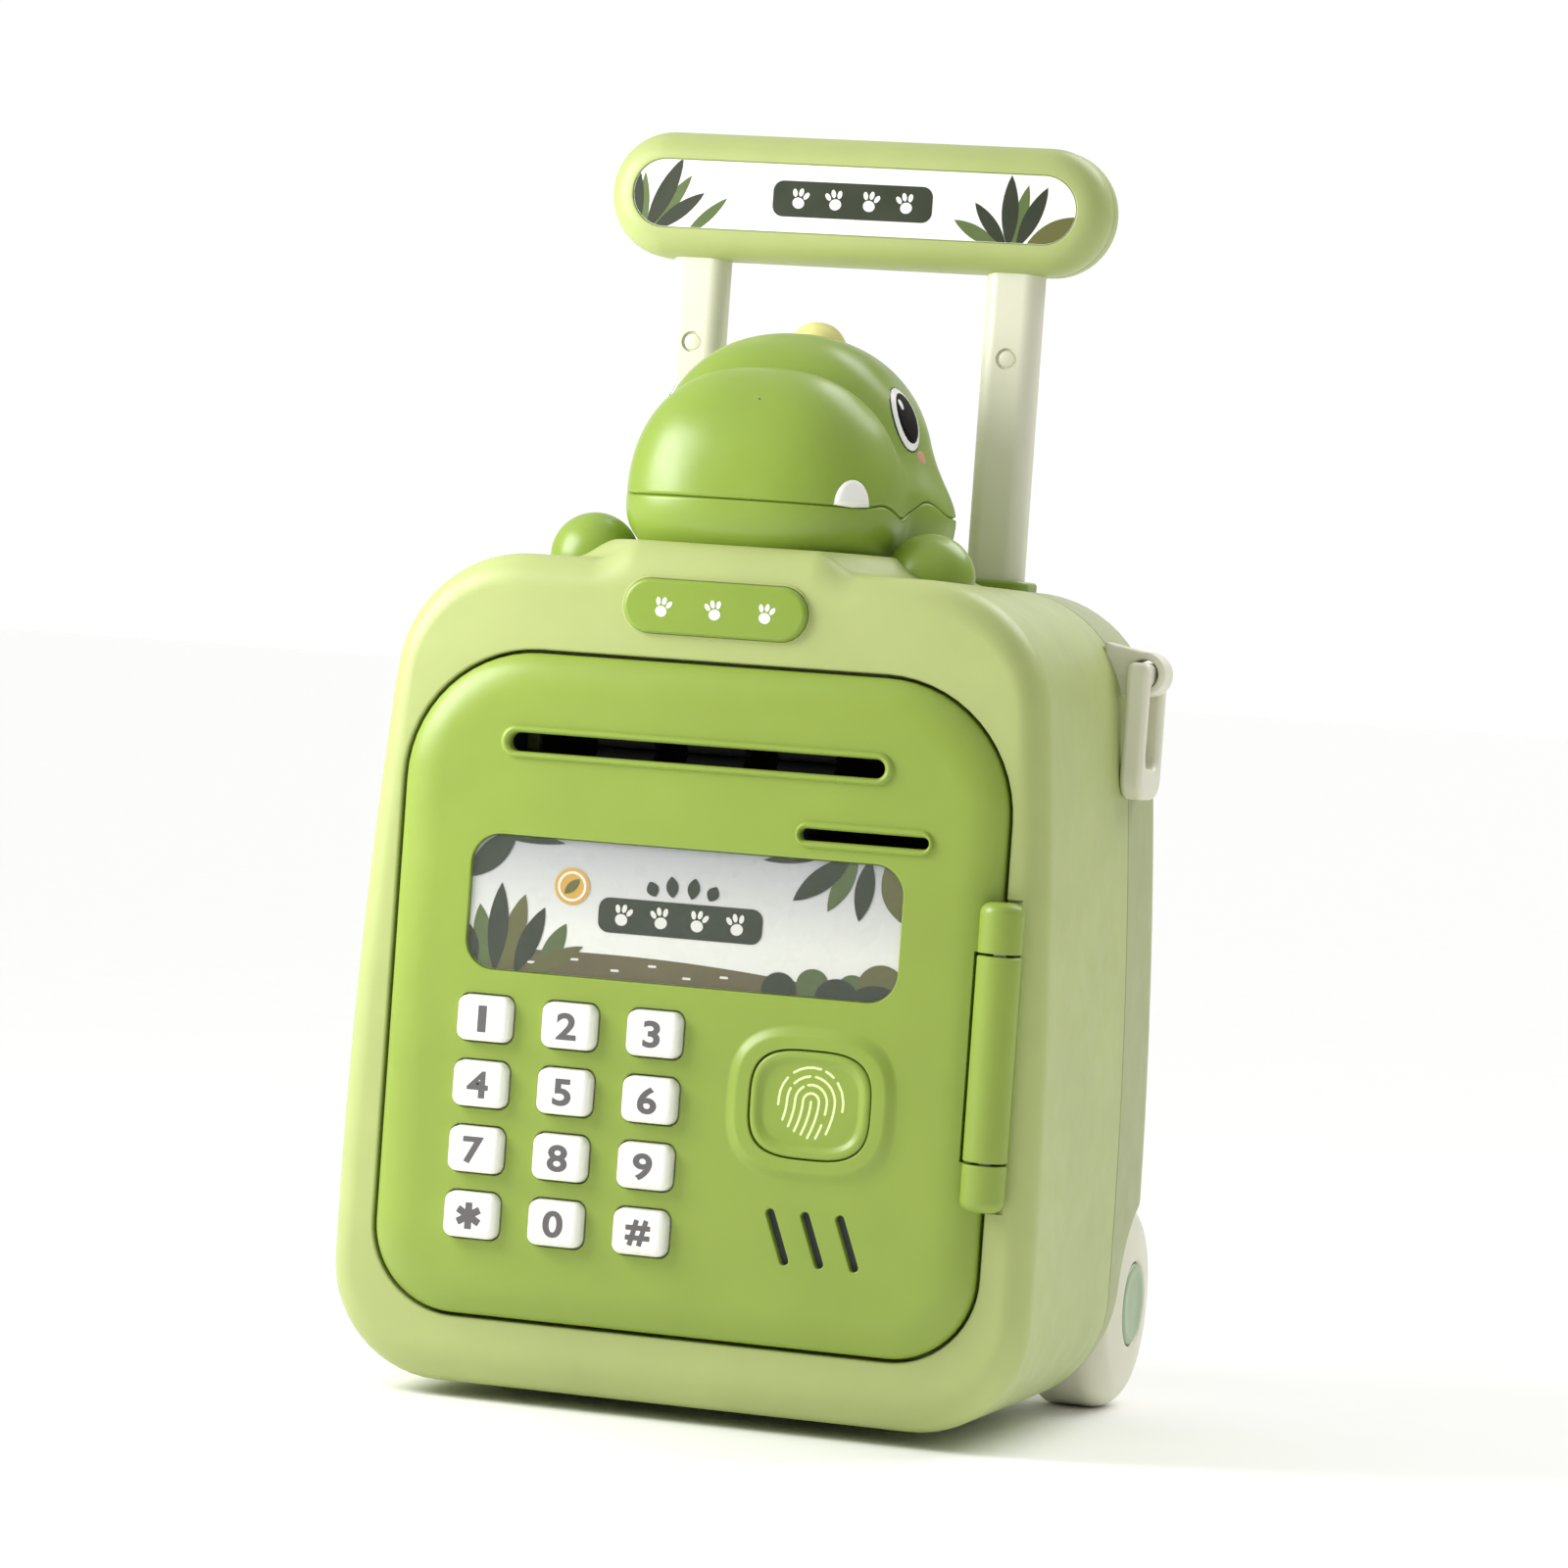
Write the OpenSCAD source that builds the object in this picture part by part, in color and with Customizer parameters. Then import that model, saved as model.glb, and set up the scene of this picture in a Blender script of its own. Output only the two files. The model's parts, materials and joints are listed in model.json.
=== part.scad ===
// Toy safe coin bank in the shape of a small trolley case.
// X runs to the viewer's right, Y runs from the door to the back, Z runs up from the floor.

/* [Cabinet] */
// Half width of the cabinet near the floor
low_half = 84.8; // [84:0.2:86]
// Half width of the cabinet below its top corners
high_half = 79.2; // [78.6:0.2:80]
// Front plane of the cabinet
front_y = -66.5; // [-67:0.1:-66]
// Rear plane of the cabinet
rear_y = 57.5; // [56:0.5:58]
// Underside of the cabinet above the floor
bottom_z = 3.5; // [3:0.5:4]
// Highest line of the cabinet's top
crown_z = 203.5; // [203:0.5:204]
// Plane where the front and rear shells meet
split_y = 14; // [13:0.5:15]
// Wall thickness of the shells
wall = 2.4; // [2:0.1:2.6]

/* [Door] */
// Half width of the door
door_half = 73; // [72.5:0.1:73.2]
// Lower edge of the door
door_low = 20.5; // [20:0.5:21]
// Upper edge of the door
door_high = 175.5; // [174:0.5:176]
// Corner radius at the top of the door
door_top_r = 31; // [29:1:32]
// Corner radius at the foot of the door
door_foot_r = 20; // [18:1:22]
// Gap between the door and its frame
door_gap = 0.8; // [0.7:0.1:1]
// Radius of the hinge barrel
barrel_r = 5.1; // [5:0.1:5.2]
// Height of the note slot's centre
note_z = 154.7; // [154.5:0.1:155]
// Height of the coin slot's centre
coin_z = 138.6; // [138.4:0.1:138.8]

/* [Keypad] */
// Width of one key cap
key_w = 13.4; // [12.5:0.1:13.6]
// Height of one key cap
key_h = 11; // [10:0.1:11.4]
// Distance between key columns
key_pitch_x = 20.75; // [20:0.05:21]
// Distance between key rows
key_pitch_z = 15.28; // [15:0.02:15.4]
// Travel of a key
key_travel = 1.4; // [1:0.1:1.4]

/* [Trolley handle] */
// Half the distance between the two posts
post_x = 40.2; // [39:0.2:42]
// Depth at which the posts stand
post_y = 28.5; // [28:0.5:29]
// Underside of the grip with the handle drawn out
grip_z = 275; // [274:0.5:277]
// Height of the grip
grip_h = 31; // [29:1:32]
// Length of the grip
grip_l = 127; // [124:1:128]

/* [Wheels] */
// Wheel radius
wheel_r = 26; // [25.5:0.5:26]
// Wheel width
wheel_w = 20; // [18:0.5:20]
// Depth of the wheel centres behind the cabinet's origin
wheel_y = 49.6; // [49:0.1:50]

/* [Hidden] */

$fn = 48;
eps = 0.01;
far = 400;

// Colours
pale_green = "#cfe196";
grey_green = "#c6d3a0";
door_green = "#9cc04c";
leaf_green = "#7fae3f";
cream = "#f4f3e6";
yellow = "#e9dd72";
steel = "#c3c6c8";
grey = "#8e9296";
dark = "#3c4146";

// Cabinet
low_corner = 27;
top_corner = 31;
heel_corner = 48;
front_edge = 8;
rear_edge = 20;
shoulder_z = crown_z - 4;
crown_half = 30;

// Door, with its front skin and the space behind it
face_y = -70.5;
rim_y = -65.5;
skin_y = -68.2;
rim_back = -60;
lip_y = rim_back + 0.5;
lip_back = lip_y + 2;
lip_in = 2.4;
crown_in = 9;
rim_wall = 2.2;
tunnel_out = 3.4;
screw_post_r = 3.2;
cover_in = 5;
cover_wall = 2;
cover_back = -44;

// Hinge axis, knuckle and caps
hinge_x = 74.2;
hinge_y = face_y;
pin_r = 1.5;
running = 0.08;
cap_low = [56.5, 67.3];
cap_high = [115.2, 126.8];
knuckle = [cap_low[1] + 0.6, cap_high[0] - 0.6];

// Window in the door, and the ledge that the card rests on
window = [[-54, 101.4], [50.5, 133]];
window_r = 7;
window_ledge = 2.2;
card_back = -68.9;
card_face = -69.3;
lens_face = -70.3;

// Raised rims and mouths of the two slots, and the speaker's slots
note_rim = [[-48.8, note_z - 3.8], [46.4, note_z + 3.8]];
note_mouth = [[-46.6, note_z - 2.3], [44.2, note_z + 2.3]];
coin_rim = [[24.5, coin_z - 2.6], [56.4, coin_z + 2.6]];
coin_mouth = [[25.1, coin_z - 1.35], [55.8, coin_z + 1.35]];
rim_proud = 1;
grille_at = [26.4, 46.2];
grille_pitch = 8.35;
grille_slot = [2.1, 13.4];
grille_lean = 21;
speaker_at = [34.7, 46.2];
speaker_r = 13.5;

// Note feed: two rollers, a gear on the lower one and a motor below it
feed_y = -56.5;
tyre_r = 3.5;
drive_z = note_z - tyre_r - 0.2;
idler_z = note_z + tyre_r + 0.2;
shaft_r = 1.5;
frame_half = 51.5;
frame_t = 2;
gear_module = 0.6;
gear_teeth = 28;
pinion_teeth = 12;
gear_x = -56.5;
gear_w = 3;
motor_z = drive_z - gear_module * (gear_teeth + pinion_teeth) / 2;

// Keypad and fingerprint button
key_x0 = -47.6;
key_z0 = 90;
cap_front = face_y - 3;
flange_y = skin_y + 0.2;
flange_back = flange_y + 1.1;
mat_y = flange_back + key_travel + 0.1;
board_y = mat_y + 1.2;
board_back = board_y + 1.5;
key_room = 0.5;
key_flange = [key_w + 2, key_h + 1.6];
button_c = [32.3, 77];
button_boss = [41, 36.3];
button_well = [33, 29];
button_hole = [29.3, 25.3];
button_cap = [28.7, 24.7];
boss_proud = 1.4;

// Door screws, battery bay and lock
door_screw_at = [[-62, 112], [62, 112], [59.5, 34.5], [-59.5, 34.5]];
bay = [[-51, 33], [7, 83]];
bay_front = board_back + 0.2;
cell_r = 7.1;
cell_y = -54.2;
cell_z = [41.5, 57.5, 73.5];
lock_z = 96;
bolt = [5, 8];
bolt_y = -54;
bolt_end = [-69, -45];
strike_x = [-78, -71.5];
strike_back = -48.5;

// Trolley handle
post_w = 14;
post_d = 10;
post_foot = 150;
grip_t = 20;
dimple_z = 254.5;
slide_gap = 0.35;
collar_half = [9.5, 7.5];
collar_foot = 190;
collar_h = 15;
guide_foot = 82;
label = [[-56.5, grip_z + 7], [56.5, grip_z + 24]];
label_r = 8.4;
label_deep = 0.8;
grip_screw_x = [-20, 20];

// Strap rings
ring_axis_x = 83.4;
ring_axis_z = 180.5;
ring_bar_r = 2.75;
ring_w = 21;
ring_foot = 150.5;
lug_w = 9;
lug_r = 7;
lug_root_x = 74;
lug_root_z = [177.5, 185.5];

// Wheels
wheel_out = 82;
wheel_gap = 1.3;
axle_r = 2.5;
axle_end = 48;
hub_r = 10;
foot_at = [48, -30];
foot_r = 7;

// Head
mouth_z = 214.2;
muzzle = [8, -33, 213];
muzzle_r = [25.7, 27.2, 32.4];
brow = [0, -15.5, 222];
brow_r = [34, 30.5, 33];
cheek = [0, -12, 213];
cheek_r = [39.5, 25, 19];
head_wall = 2;
jaw_foot = 195;
jaw_y = -14;
spike_at = [0, 1, 248];
spike_r = 6.5;
eye_at = [-22, 237];
eye_r = 7.8;
tooth_x = [22.5, 30.5];
tooth_h = 6.2;
paw_at = [41.4, -34.3, 199.3];
paw_r = 10.4;

// Shell screws
shell_screw_at = [[-79.2, 78], [79.2, 78], [-65.9, 188.4], [65.9, 188.4]];
shell_screw_r = 1.25;
shell_boss_r = 4;

// ---- Shared shapes -------------------------------------------------------

function arc(c, r, from, to, n) =
    [for (i = [0:n]) let (a = from + (to - from) * i / n) [c[0] + r * cos(a), c[1] + r * sin(a)]];

// Outline of a rectangle from corner p to corner q, with corners of radius r
function rounded(p, q, r, n = 6) = concat(
    arc([q[0] - r, p[1] + r], r, -90, 0, n),
    arc([q[0] - r, q[1] - r], r, 0, 90, n),
    arc([p[0] + r, q[1] - r], r, 90, 180, n),
    arc([p[0] + r, p[1] + r], r, 180, 270, n)
);

// Outline of the door, grown by g
function door_outline(g) = concat(
    arc([door_half - door_foot_r, door_low + door_foot_r], door_foot_r + g, -90, 0, 8),
    arc([door_half - door_top_r, door_high - door_top_r], door_top_r + g, 0, 90, 10),
    arc([door_top_r - door_half, door_high - door_top_r], door_top_r + g, 90, 180, 10),
    arc([door_foot_r - door_half, door_low + door_foot_r], door_foot_r + g, 180, 270, 8)
);

// Extrudes an outline drawn in X and Z from depth y0 to depth y1
module along_y(y0, y1) {
    translate([0, y1, 0])
        rotate([90, 0, 0])
            linear_extrude(y1 - y0)
                children();
}

// Extrudes an outline drawn in Y and Z from x0 to x1
module along_x(x0, x1) {
    translate([x0, 0, 0])
        rotate([90, 0, 90])
            linear_extrude(x1 - x0)
                children();
}

module rod_x(x0, x1, y, z, r) {
    translate([x0, y, z])
        rotate([0, 90, 0])
            cylinder(h = x1 - x0, r = r);
}

module rod_y(x, y0, y1, z, r) {
    translate([x, y1, z])
        rotate([90, 0, 0])
            cylinder(h = y1 - y0, r = r);
}

module block(p, q) {
    translate(p)
        cube(q - p);
}

module both_sides() {
    children();
    mirror([1, 0, 0])
        children();
}

// Ring about the Y axis (turn = 90) or the X axis (turn = 0)
module ring_corner(at, outer, edge, inset, about_y) {
    translate(at)
        rotate(about_y ? [90, 0, 0] : [0, 90, 0])
            rotate_extrude($fn = 40)
                translate([outer - edge, 0])
                    circle(edge - inset, $fn = 20);
}

// The cabinet's outer form, drawn in by inset
module cabinet_form(inset) {
    hull()
        both_sides() {
            ring_corner([low_half - low_corner, front_y + front_edge, bottom_z + low_corner],
                low_corner, front_edge, inset, true);
            ring_corner([high_half - top_corner, front_y + front_edge, shoulder_z - top_corner],
                top_corner, front_edge, inset, true);
            ring_corner([crown_half, front_y + front_edge, crown_z - top_corner],
                top_corner, front_edge, inset, true);
            for (a = [0, 45, 90])
                translate([
                    high_half - top_corner + (top_corner - rear_edge) * cos(a),
                    rear_y - rear_edge,
                    shoulder_z - top_corner + (top_corner - rear_edge) * sin(a)
                ])
                    sphere(rear_edge - inset, $fn = 32);
            translate([crown_half, rear_y - rear_edge, crown_z - rear_edge])
                sphere(rear_edge - inset, $fn = 32);
            ring_corner([low_half - rear_edge, rear_y - heel_corner, bottom_z + heel_corner],
                heel_corner, rear_edge, inset, false);
        }
}

// Where the strap lugs stand in the shells' joint
module lug_root() {
    both_sides()
        block([lug_root_x, split_y - lug_w / 2, lug_root_z[0]],
            [ring_axis_x, split_y + lug_w / 2, lug_root_z[1]]);
}

// ---- Cabinet ---------------------------------------------------------------

module front_shell() {
    color(pale_green)
    difference() {
        union() {
            difference() {
                intersection() {
                    cabinet_form(0);
                    block([-far, -far, -far], [far, split_y, far]);
                }
                cabinet_form(wall);
            }
            along_y(front_y + 0.5, lip_back)
                polygon(door_outline(tunnel_out));
            // strike for the lock bolt
            block([strike_x[0], lip_back - 0.5, lock_z - bolt[1]],
                [strike_x[1], strike_back, lock_z + bolt[1]]);
            for (p = shell_screw_at)
                rod_y(p[0], split_y - 22, split_y, p[1], shell_boss_r);
        }
        along_y(-far, lip_y)
            polygon(door_outline(door_gap));
        along_y(lip_y - 1, lip_back + 0.1)
            polygon(door_outline(-lip_in));
        translate([hinge_x, hinge_y, cap_low[0] - 0.6])
            cylinder(h = cap_high[1] - cap_low[0] + 1.2, r = barrel_r + 0.6);
        knuckle_web();
        bolt_way(strike_x[0] + 1, strike_x[1] + 0.5, 0.3);
        lug_root();
        for (p = shell_screw_at)
            rod_y(p[0], split_y - 16, split_y + 1, p[1], shell_screw_r);
    }
}

// Straight way for the lock bolt from x0 to x1, with gap all round it
module bolt_way(x0, x1, gap) {
    block([x0, bolt_y - bolt[0] / 2 - gap, lock_z - bolt[1] / 2 - gap],
        [x1, bolt_y + bolt[0] / 2 + gap, lock_z + bolt[1] / 2 + gap]);
}

module wheel_axis_rod(x0, x1, r) {
    both_sides()
        rod_x(x0, x1, wheel_y, wheel_r, r);
}

module rear_shell() {
    color(grey_green)
    difference() {
        union() {
            difference() {
                intersection() {
                    cabinet_form(0);
                    block([-far, split_y, -far], [far, far, far]);
                }
                cabinet_form(wall);
            }
            // housings round the wheels, and the bosses that hold their axles
            intersection() {
                wheel_axis_rod(wheel_out - wheel_w - 4, low_half - 3.5, wheel_r + wheel_gap + 2);
                block([-low_half + 2.5, split_y, bottom_z + 0.6], [low_half - 2.5, rear_y - 1.2, far]);
            }
            wheel_axis_rod(axle_end, wheel_out - wheel_w - 1, 6);
            // blocks that carry the post collars
            both_sides()
                block([post_x - 12, post_y - 9.5, collar_foot], [post_x + 12, post_y + 9.5, 198.4]);
            intersection() {
                for (p = shell_screw_at)
                    rod_y(p[0], split_y, rear_y, p[1], shell_boss_r);
                cabinet_form(0.6);
            }
        }
        wheel_axis_rod(wheel_out - wheel_w - 1, wheel_out + 0.8, wheel_r + wheel_gap);
        wheel_axis_rod(axle_end - 1, wheel_out - wheel_w, axle_r);
        both_sides()
            translate([post_x, post_y, 180])
                linear_extrude(40)
                    polygon(rounded(-collar_half, collar_half, 4));
        lug_root();
        for (p = shell_screw_at) {
            rod_y(p[0], split_y - 1, rear_y + 1, p[1], 1.6);
            rod_y(p[0], split_y + 10, rear_y + 1, p[1], 2.9);
        }
    }
}

// Foot of the hinge knuckle, let into the front shell
module knuckle_web() {
    block([75, hinge_y, knuckle[0] + 2], [78.6, -62.6, knuckle[1] - 2]);
}

module hinge_knuckle() {
    color(door_green)
    difference() {
        union() {
            translate([hinge_x, hinge_y, knuckle[0]])
                cylinder(h = knuckle[1] - knuckle[0], r = barrel_r);
            knuckle_web();
        }
        translate([hinge_x, hinge_y, 0])
            cylinder(h = 200, r = pin_r);
    }
}

module hinge_pin() {
    color(steel)
    translate([hinge_x, hinge_y, cap_low[0] + 1.8])
        cylinder(h = cap_high[1] - cap_low[0] - 3.6, r = pin_r);
}

module nameplate() {
    color(leaf_green)
    along_y(front_y - 1.8, front_y)
        polygon(rounded([-22.2, 182], [22.2, 194.6], 6.3, 10));
}

module shell_screws() {
    color(steel)
    for (p = shell_screw_at) {
        rod_y(p[0], split_y - 16, split_y + 10, p[1], shell_screw_r);
        rod_y(p[0], split_y + 10, split_y + 12, p[1], 2.6);
    }
}

module front_feet() {
    color(pale_green)
    both_sides()
        translate(foot_at)
            cylinder(h = bottom_z, r = foot_r);
}

// ---- Dinosaur head and paws ------------------------------------------------

module ellipsoid(at, r, grow) {
    translate(at)
        scale([r[0] + grow, r[1] + grow, r[2] + grow])
            sphere(1, $fn = 40);
}

// Closed convex form of the head above foot, grown by grow
module head_form(grow, foot) {
    hull()
        intersection() {
            union() {
                both_sides()
                    ellipsoid(muzzle, muzzle_r, grow);
                ellipsoid(brow, brow_r, grow);
                ellipsoid(cheek, cheek_r, grow);
            }
            block([-far, -far, foot], [far, far, far]);
        }
}

module head_upper() {
    color(leaf_green)
    difference() {
        head_form(0, mouth_z);
        head_form(-head_wall, mouth_z - 1);
    }
}

// Plan outline of the jaw at scale k
function jaw_outline(k) =
    [for (a = [0:9:351]) [38.5 * k * cos(a), jaw_y + (a < 180 ? 26 : 45.5) * k * sin(a)]];

module head_jaw() {
    color(leaf_green)
    difference() {
        translate([0, 0, jaw_foot])
            linear_extrude(mouth_z - jaw_foot)
                difference() {
                    polygon(jaw_outline(1));
                    polygon(jaw_outline(0.93));
                }
        cabinet_form(0);
    }
}

module head_crest() {
    color(yellow)
    difference() {
        translate(spike_at)
            rotate_extrude()
                polygon(concat([[0, 0], [spike_r, 0]], arc([0, 4], spike_r, 0, 90, 8)));
        head_form(0, mouth_z);
    }
}

module eyes() {
    color("white")
    difference() {
        intersection() {
            head_form(0.8, mouth_z);
            both_sides()
                rod_x(10, 60, eye_at[0], eye_at[1], eye_r);
        }
        head_form(0, mouth_z);
    }
}

module tooth() {
    color("white")
    difference() {
        intersection() {
            head_form(0.8, mouth_z);
            block([tooth_x[0], -70, mouth_z + 0.1], [tooth_x[1], -35, mouth_z + tooth_h]);
        }
        head_form(0, mouth_z);
    }
}

module paws() {
    color(leaf_green)
    difference() {
        both_sides()
            translate(paw_at)
                sphere(paw_r);
        cabinet_form(0);
        translate([0, 0, jaw_foot])
            linear_extrude(far)
                polygon(jaw_outline(1));
    }
}

// ---- Strap rings -----------------------------------------------------------

module strap_lugs() {
    color(cream)
    both_sides()
        difference() {
            union() {
                along_lug()
                    circle(lug_r);
                block([lug_root_x, split_y - lug_w / 2, lug_root_z[0]],
                    [ring_axis_x, split_y + lug_w / 2, lug_root_z[1]]);
            }
            rod_y(ring_axis_x, split_y - 10, split_y + 10, ring_axis_z, ring_bar_r + running);
        }
}

// Draws an outline about the ring's axis, as wide as the lug
module along_lug() {
    translate([ring_axis_x, 0, ring_axis_z])
        along_y(split_y - lug_w / 2, split_y + lug_w / 2)
            children();
}

module strap_ring() {
    slot_half = 6;
    difference() {
        union() {
            rod_y(ring_axis_x, split_y - ring_w / 2, split_y + ring_w / 2, ring_axis_z, ring_bar_r);
            along_x(ring_axis_x - ring_bar_r, ring_axis_x + ring_bar_r)
                polygon(concat(
                    [[split_y + ring_w / 2, ring_axis_z], [split_y - ring_w / 2, ring_axis_z]],
                    arc([split_y - ring_w / 2 + 6, ring_foot + 6], 6, 180, 270, 6),
                    arc([split_y + ring_w / 2 - 6, ring_foot + 6], 6, 270, 360, 6)));
        }
        difference() {
            along_x(0, 200)
                polygon(rounded([split_y - slot_half, ring_foot + 7.5],
                    [split_y + slot_half, ring_axis_z + 8], 5));
            rod_y(ring_axis_x, 0, 40, ring_axis_z, ring_bar_r);
        }
    }
}

module ring_right() {
    color(cream)
        strap_ring();
}

module ring_left() {
    color(cream)
        mirror([1, 0, 0])
            strap_ring();
}

// ---- Wheels ----------------------------------------------------------------

// Profile of a wheel: radius against distance from its inner face
function wheel_profile() = concat(
    [[axle_r + running, 0], [wheel_r - 3, 0]],
    arc([wheel_r - 3, 3], 3, -90, 0, 5),
    arc([wheel_r - 8, wheel_w - 8], 8, 0, 60, 7),
    [[hub_r + 0.1, wheel_w - 0.5], [hub_r + 0.1, wheel_w - 4], [axle_r + running, wheel_w - 4]]
);

module place_wheel(side) {
    mirror([side > 0 ? 0 : 1, 0, 0])
        translate([wheel_out - wheel_w, wheel_y, wheel_r])
            rotate([0, 90, 0])
                children();
}

module wheel(side) {
    color(cream)
        place_wheel(side)
            rotate_extrude($fn = 72)
                polygon(wheel_profile());
}

// Hub cap that closes the wheel's outer face over the end of its axle
module hub(side) {
    color(door_green)
        place_wheel(side)
            rotate_extrude($fn = 48)
                polygon(concat([[0, wheel_w - 2], [0, wheel_w]],
                    arc([hub_r - 1, wheel_w - 1], 1, 90, 0, 4), [[hub_r, wheel_w - 4],
                    [axle_r + 1, wheel_w - 4], [axle_r + 1, wheel_w - 2]]));
}

module wheel_left() {
    wheel(-1);
}

module wheel_right() {
    wheel(1);
}

module hub_left() {
    hub(-1);
}

module hub_right() {
    hub(1);
}

module axle_pins() {
    color(steel)
        wheel_axis_rod(axle_end, wheel_out - 3, axle_r);
}

// ---- Trolley handle --------------------------------------------------------

function post_outline(g) =
    rounded([-post_w / 2 - g, -post_d / 2 - g], [post_w / 2 + g, post_d / 2 + g], 4 + g);

module at_posts() {
    both_sides()
        translate([post_x, post_y, 0])
            children();
}

module handle_posts() {
    color(cream)
    difference() {
        at_posts()
            translate([0, 0, post_foot])
                linear_extrude(grip_z + 16 - post_foot)
                    polygon(post_outline(0));
        both_sides()
            rod_y(post_x, post_y - post_d / 2 - 1, post_y - post_d / 2 + 0.6, dimple_z, 2.5);
    }
}

module post_collars() {
    color(leaf_green)
    at_posts()
        difference() {
            translate([0, 0, collar_foot])
                linear_extrude(collar_h)
                    polygon(rounded(-collar_half, collar_half, 4));
            linear_extrude(far)
                polygon(post_outline(slide_gap));
        }
}

module post_guides() {
    color(grey)
    at_posts()
        difference() {
            translate([0, 0, guide_foot])
                linear_extrude(collar_foot - guide_foot)
                    polygon(rounded(-collar_half, collar_half, 4));
            translate([0, 0, guide_foot + 2])
                linear_extrude(200)
                    polygon(post_outline(slide_gap));
        }
}

// Closed form of the grip, drawn in by inset
module grip_form(inset) {
    edge = 7;
    hull()
        both_sides()
            for (y = [-1, 1])
                ring_corner([(grip_l - grip_h) / 2, post_y + y * (grip_t / 2 - edge), grip_z + grip_h / 2],
                    grip_h / 2, edge, inset, true);
}

// One half of the grip, between depths y0 and y1
module grip_half(y0, y1) {
    difference() {
        intersection() {
            grip_form(0);
            block([-far, y0, 0], [far, y1, far]);
        }
        difference() {
            grip_form(2);
            for (x = grip_screw_x)
                rod_y(x, 0, 100, grip_z + grip_h / 2, 3.2);
        }
        at_posts()
            linear_extrude(grip_z + 16)
                polygon(post_outline(0));
        for (x = grip_screw_x)
            rod_y(x, post_y - 6, post_y + 20, grip_z + grip_h / 2, 1.25);
    }
}

module grip_front() {
    color(pale_green)
    difference() {
        grip_half(0, post_y);
        along_y(0, post_y - grip_t / 2 + label_deep)
            polygon(rounded(label[0], label[1], label_r, 8));
    }
}

module grip_rear() {
    color(pale_green)
    difference() {
        grip_half(post_y, 100);
        for (x = grip_screw_x)
            rod_y(x, post_y + 6, post_y + 20, grip_z + grip_h / 2, 2.6);
    }
}

module grip_label() {
    color("white")
    along_y(post_y - grip_t / 2 + 0.3, post_y - grip_t / 2 + label_deep)
        polygon(rounded(label[0] + [0.2, 0.2], label[1] - [0.2, 0.2], label_r - 0.2, 8));
}

module grip_screws() {
    color(steel)
    for (x = grip_screw_x) {
        rod_y(x, post_y - 6, post_y + 6, grip_z + grip_h / 2, 1.25);
        rod_y(x, post_y + 6, post_y + 7.8, grip_z + grip_h / 2, 2.5);
    }
}

// ---- Door ------------------------------------------------------------------

module key_grid() {
    for (row = [0:3])
        for (col = [0:2])
            translate([key_x0 + col * key_pitch_x, 0, key_z0 - row * key_pitch_z])
                children();
}

function centred(size, r) = rounded(-size / 2, size / 2, r);

module at_button() {
    translate([button_c[0], 0, button_c[1]])
        children();
}

module hinge_caps() {
    for (cap = [cap_low, cap_high])
        translate([hinge_x, hinge_y, cap[0]])
            cylinder(h = cap[1] - cap[0], r = barrel_r);
}

module door_panel() {
    color(door_green)
    difference() {
        union() {
            hull() {
                along_y(rim_y - 1, rim_y)
                    polygon(door_outline(0));
                along_y(face_y, face_y + 1)
                    polygon(door_outline(-crown_in));
            }
            along_y(rim_y - 0.5, rim_back)
                polygon(door_outline(0));
            hinge_caps();
            // raised rims round the fingerprint button, the note slot and the coin slot
            at_button()
                along_y(face_y - boss_proud, face_y + 1)
                    polygon(centred(button_boss, 13));
            along_y(face_y - rim_proud, face_y + 1) {
                polygon(rounded(note_rim[0], note_rim[1], 3));
                polygon(rounded(coin_rim[0], coin_rim[1], 2));
            }
        }
        // hollow behind the skin
        along_y(skin_y, rim_y)
            polygon(door_outline(-crown_in - 0.5));
        difference() {
            along_y(rim_y - 0.5, rim_back + 1)
                polygon(door_outline(-rim_wall));
            for (p = door_screw_at)
                rod_y(p[0], -90, -50, p[1], screw_post_r);
        }
        // room for the cabinet's knuckle
        block([68, -far, knuckle[0] - 0.6], [80, -63.9, knuckle[1] + 0.6]);
        key_grid()
            along_y(-far, skin_y + 1)
                polygon(centred([key_w + key_room, key_h + key_room], 2.6));
        at_button() {
            along_y(-far, face_y)
                polygon(centred(button_well, 11));
            along_y(-far, skin_y + 1)
                polygon(centred(button_hole, 9));
        }
        along_y(-far, skin_y + 1) {
            polygon(rounded(note_mouth[0], note_mouth[1], 2.2));
            polygon(rounded(coin_mouth[0], coin_mouth[1], 1.3));
            polygon(rounded(window[0] + [window_ledge, window_ledge],
                window[1] - [window_ledge, window_ledge], window_r - 2));
        }
        along_y(-far, card_back)
            polygon(rounded(window[0], window[1], window_r));
        for (i = [0:2])
            translate([grille_at[0] + grille_pitch * i, 0, grille_at[1]])
                rotate([0, -grille_lean, 0])
                    along_y(-far, skin_y + 1)
                        polygon(centred(grille_slot, 1));
        for (p = door_screw_at)
            rod_y(p[0], -65, -50, p[1], 1.1);
        translate([hinge_x, hinge_y, cap_low[0] + 1.5])
            cylinder(h = cap_high[1] - cap_low[0] - 3, r = pin_r + running);
    }
    color(door_green)
    for (p = door_screw_at)
        difference() {
            rod_y(p[0], rim_y - 0.5, -52, p[1], screw_post_r);
            rod_y(p[0], -65, -50, p[1], 1.1);
        }
}

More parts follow.
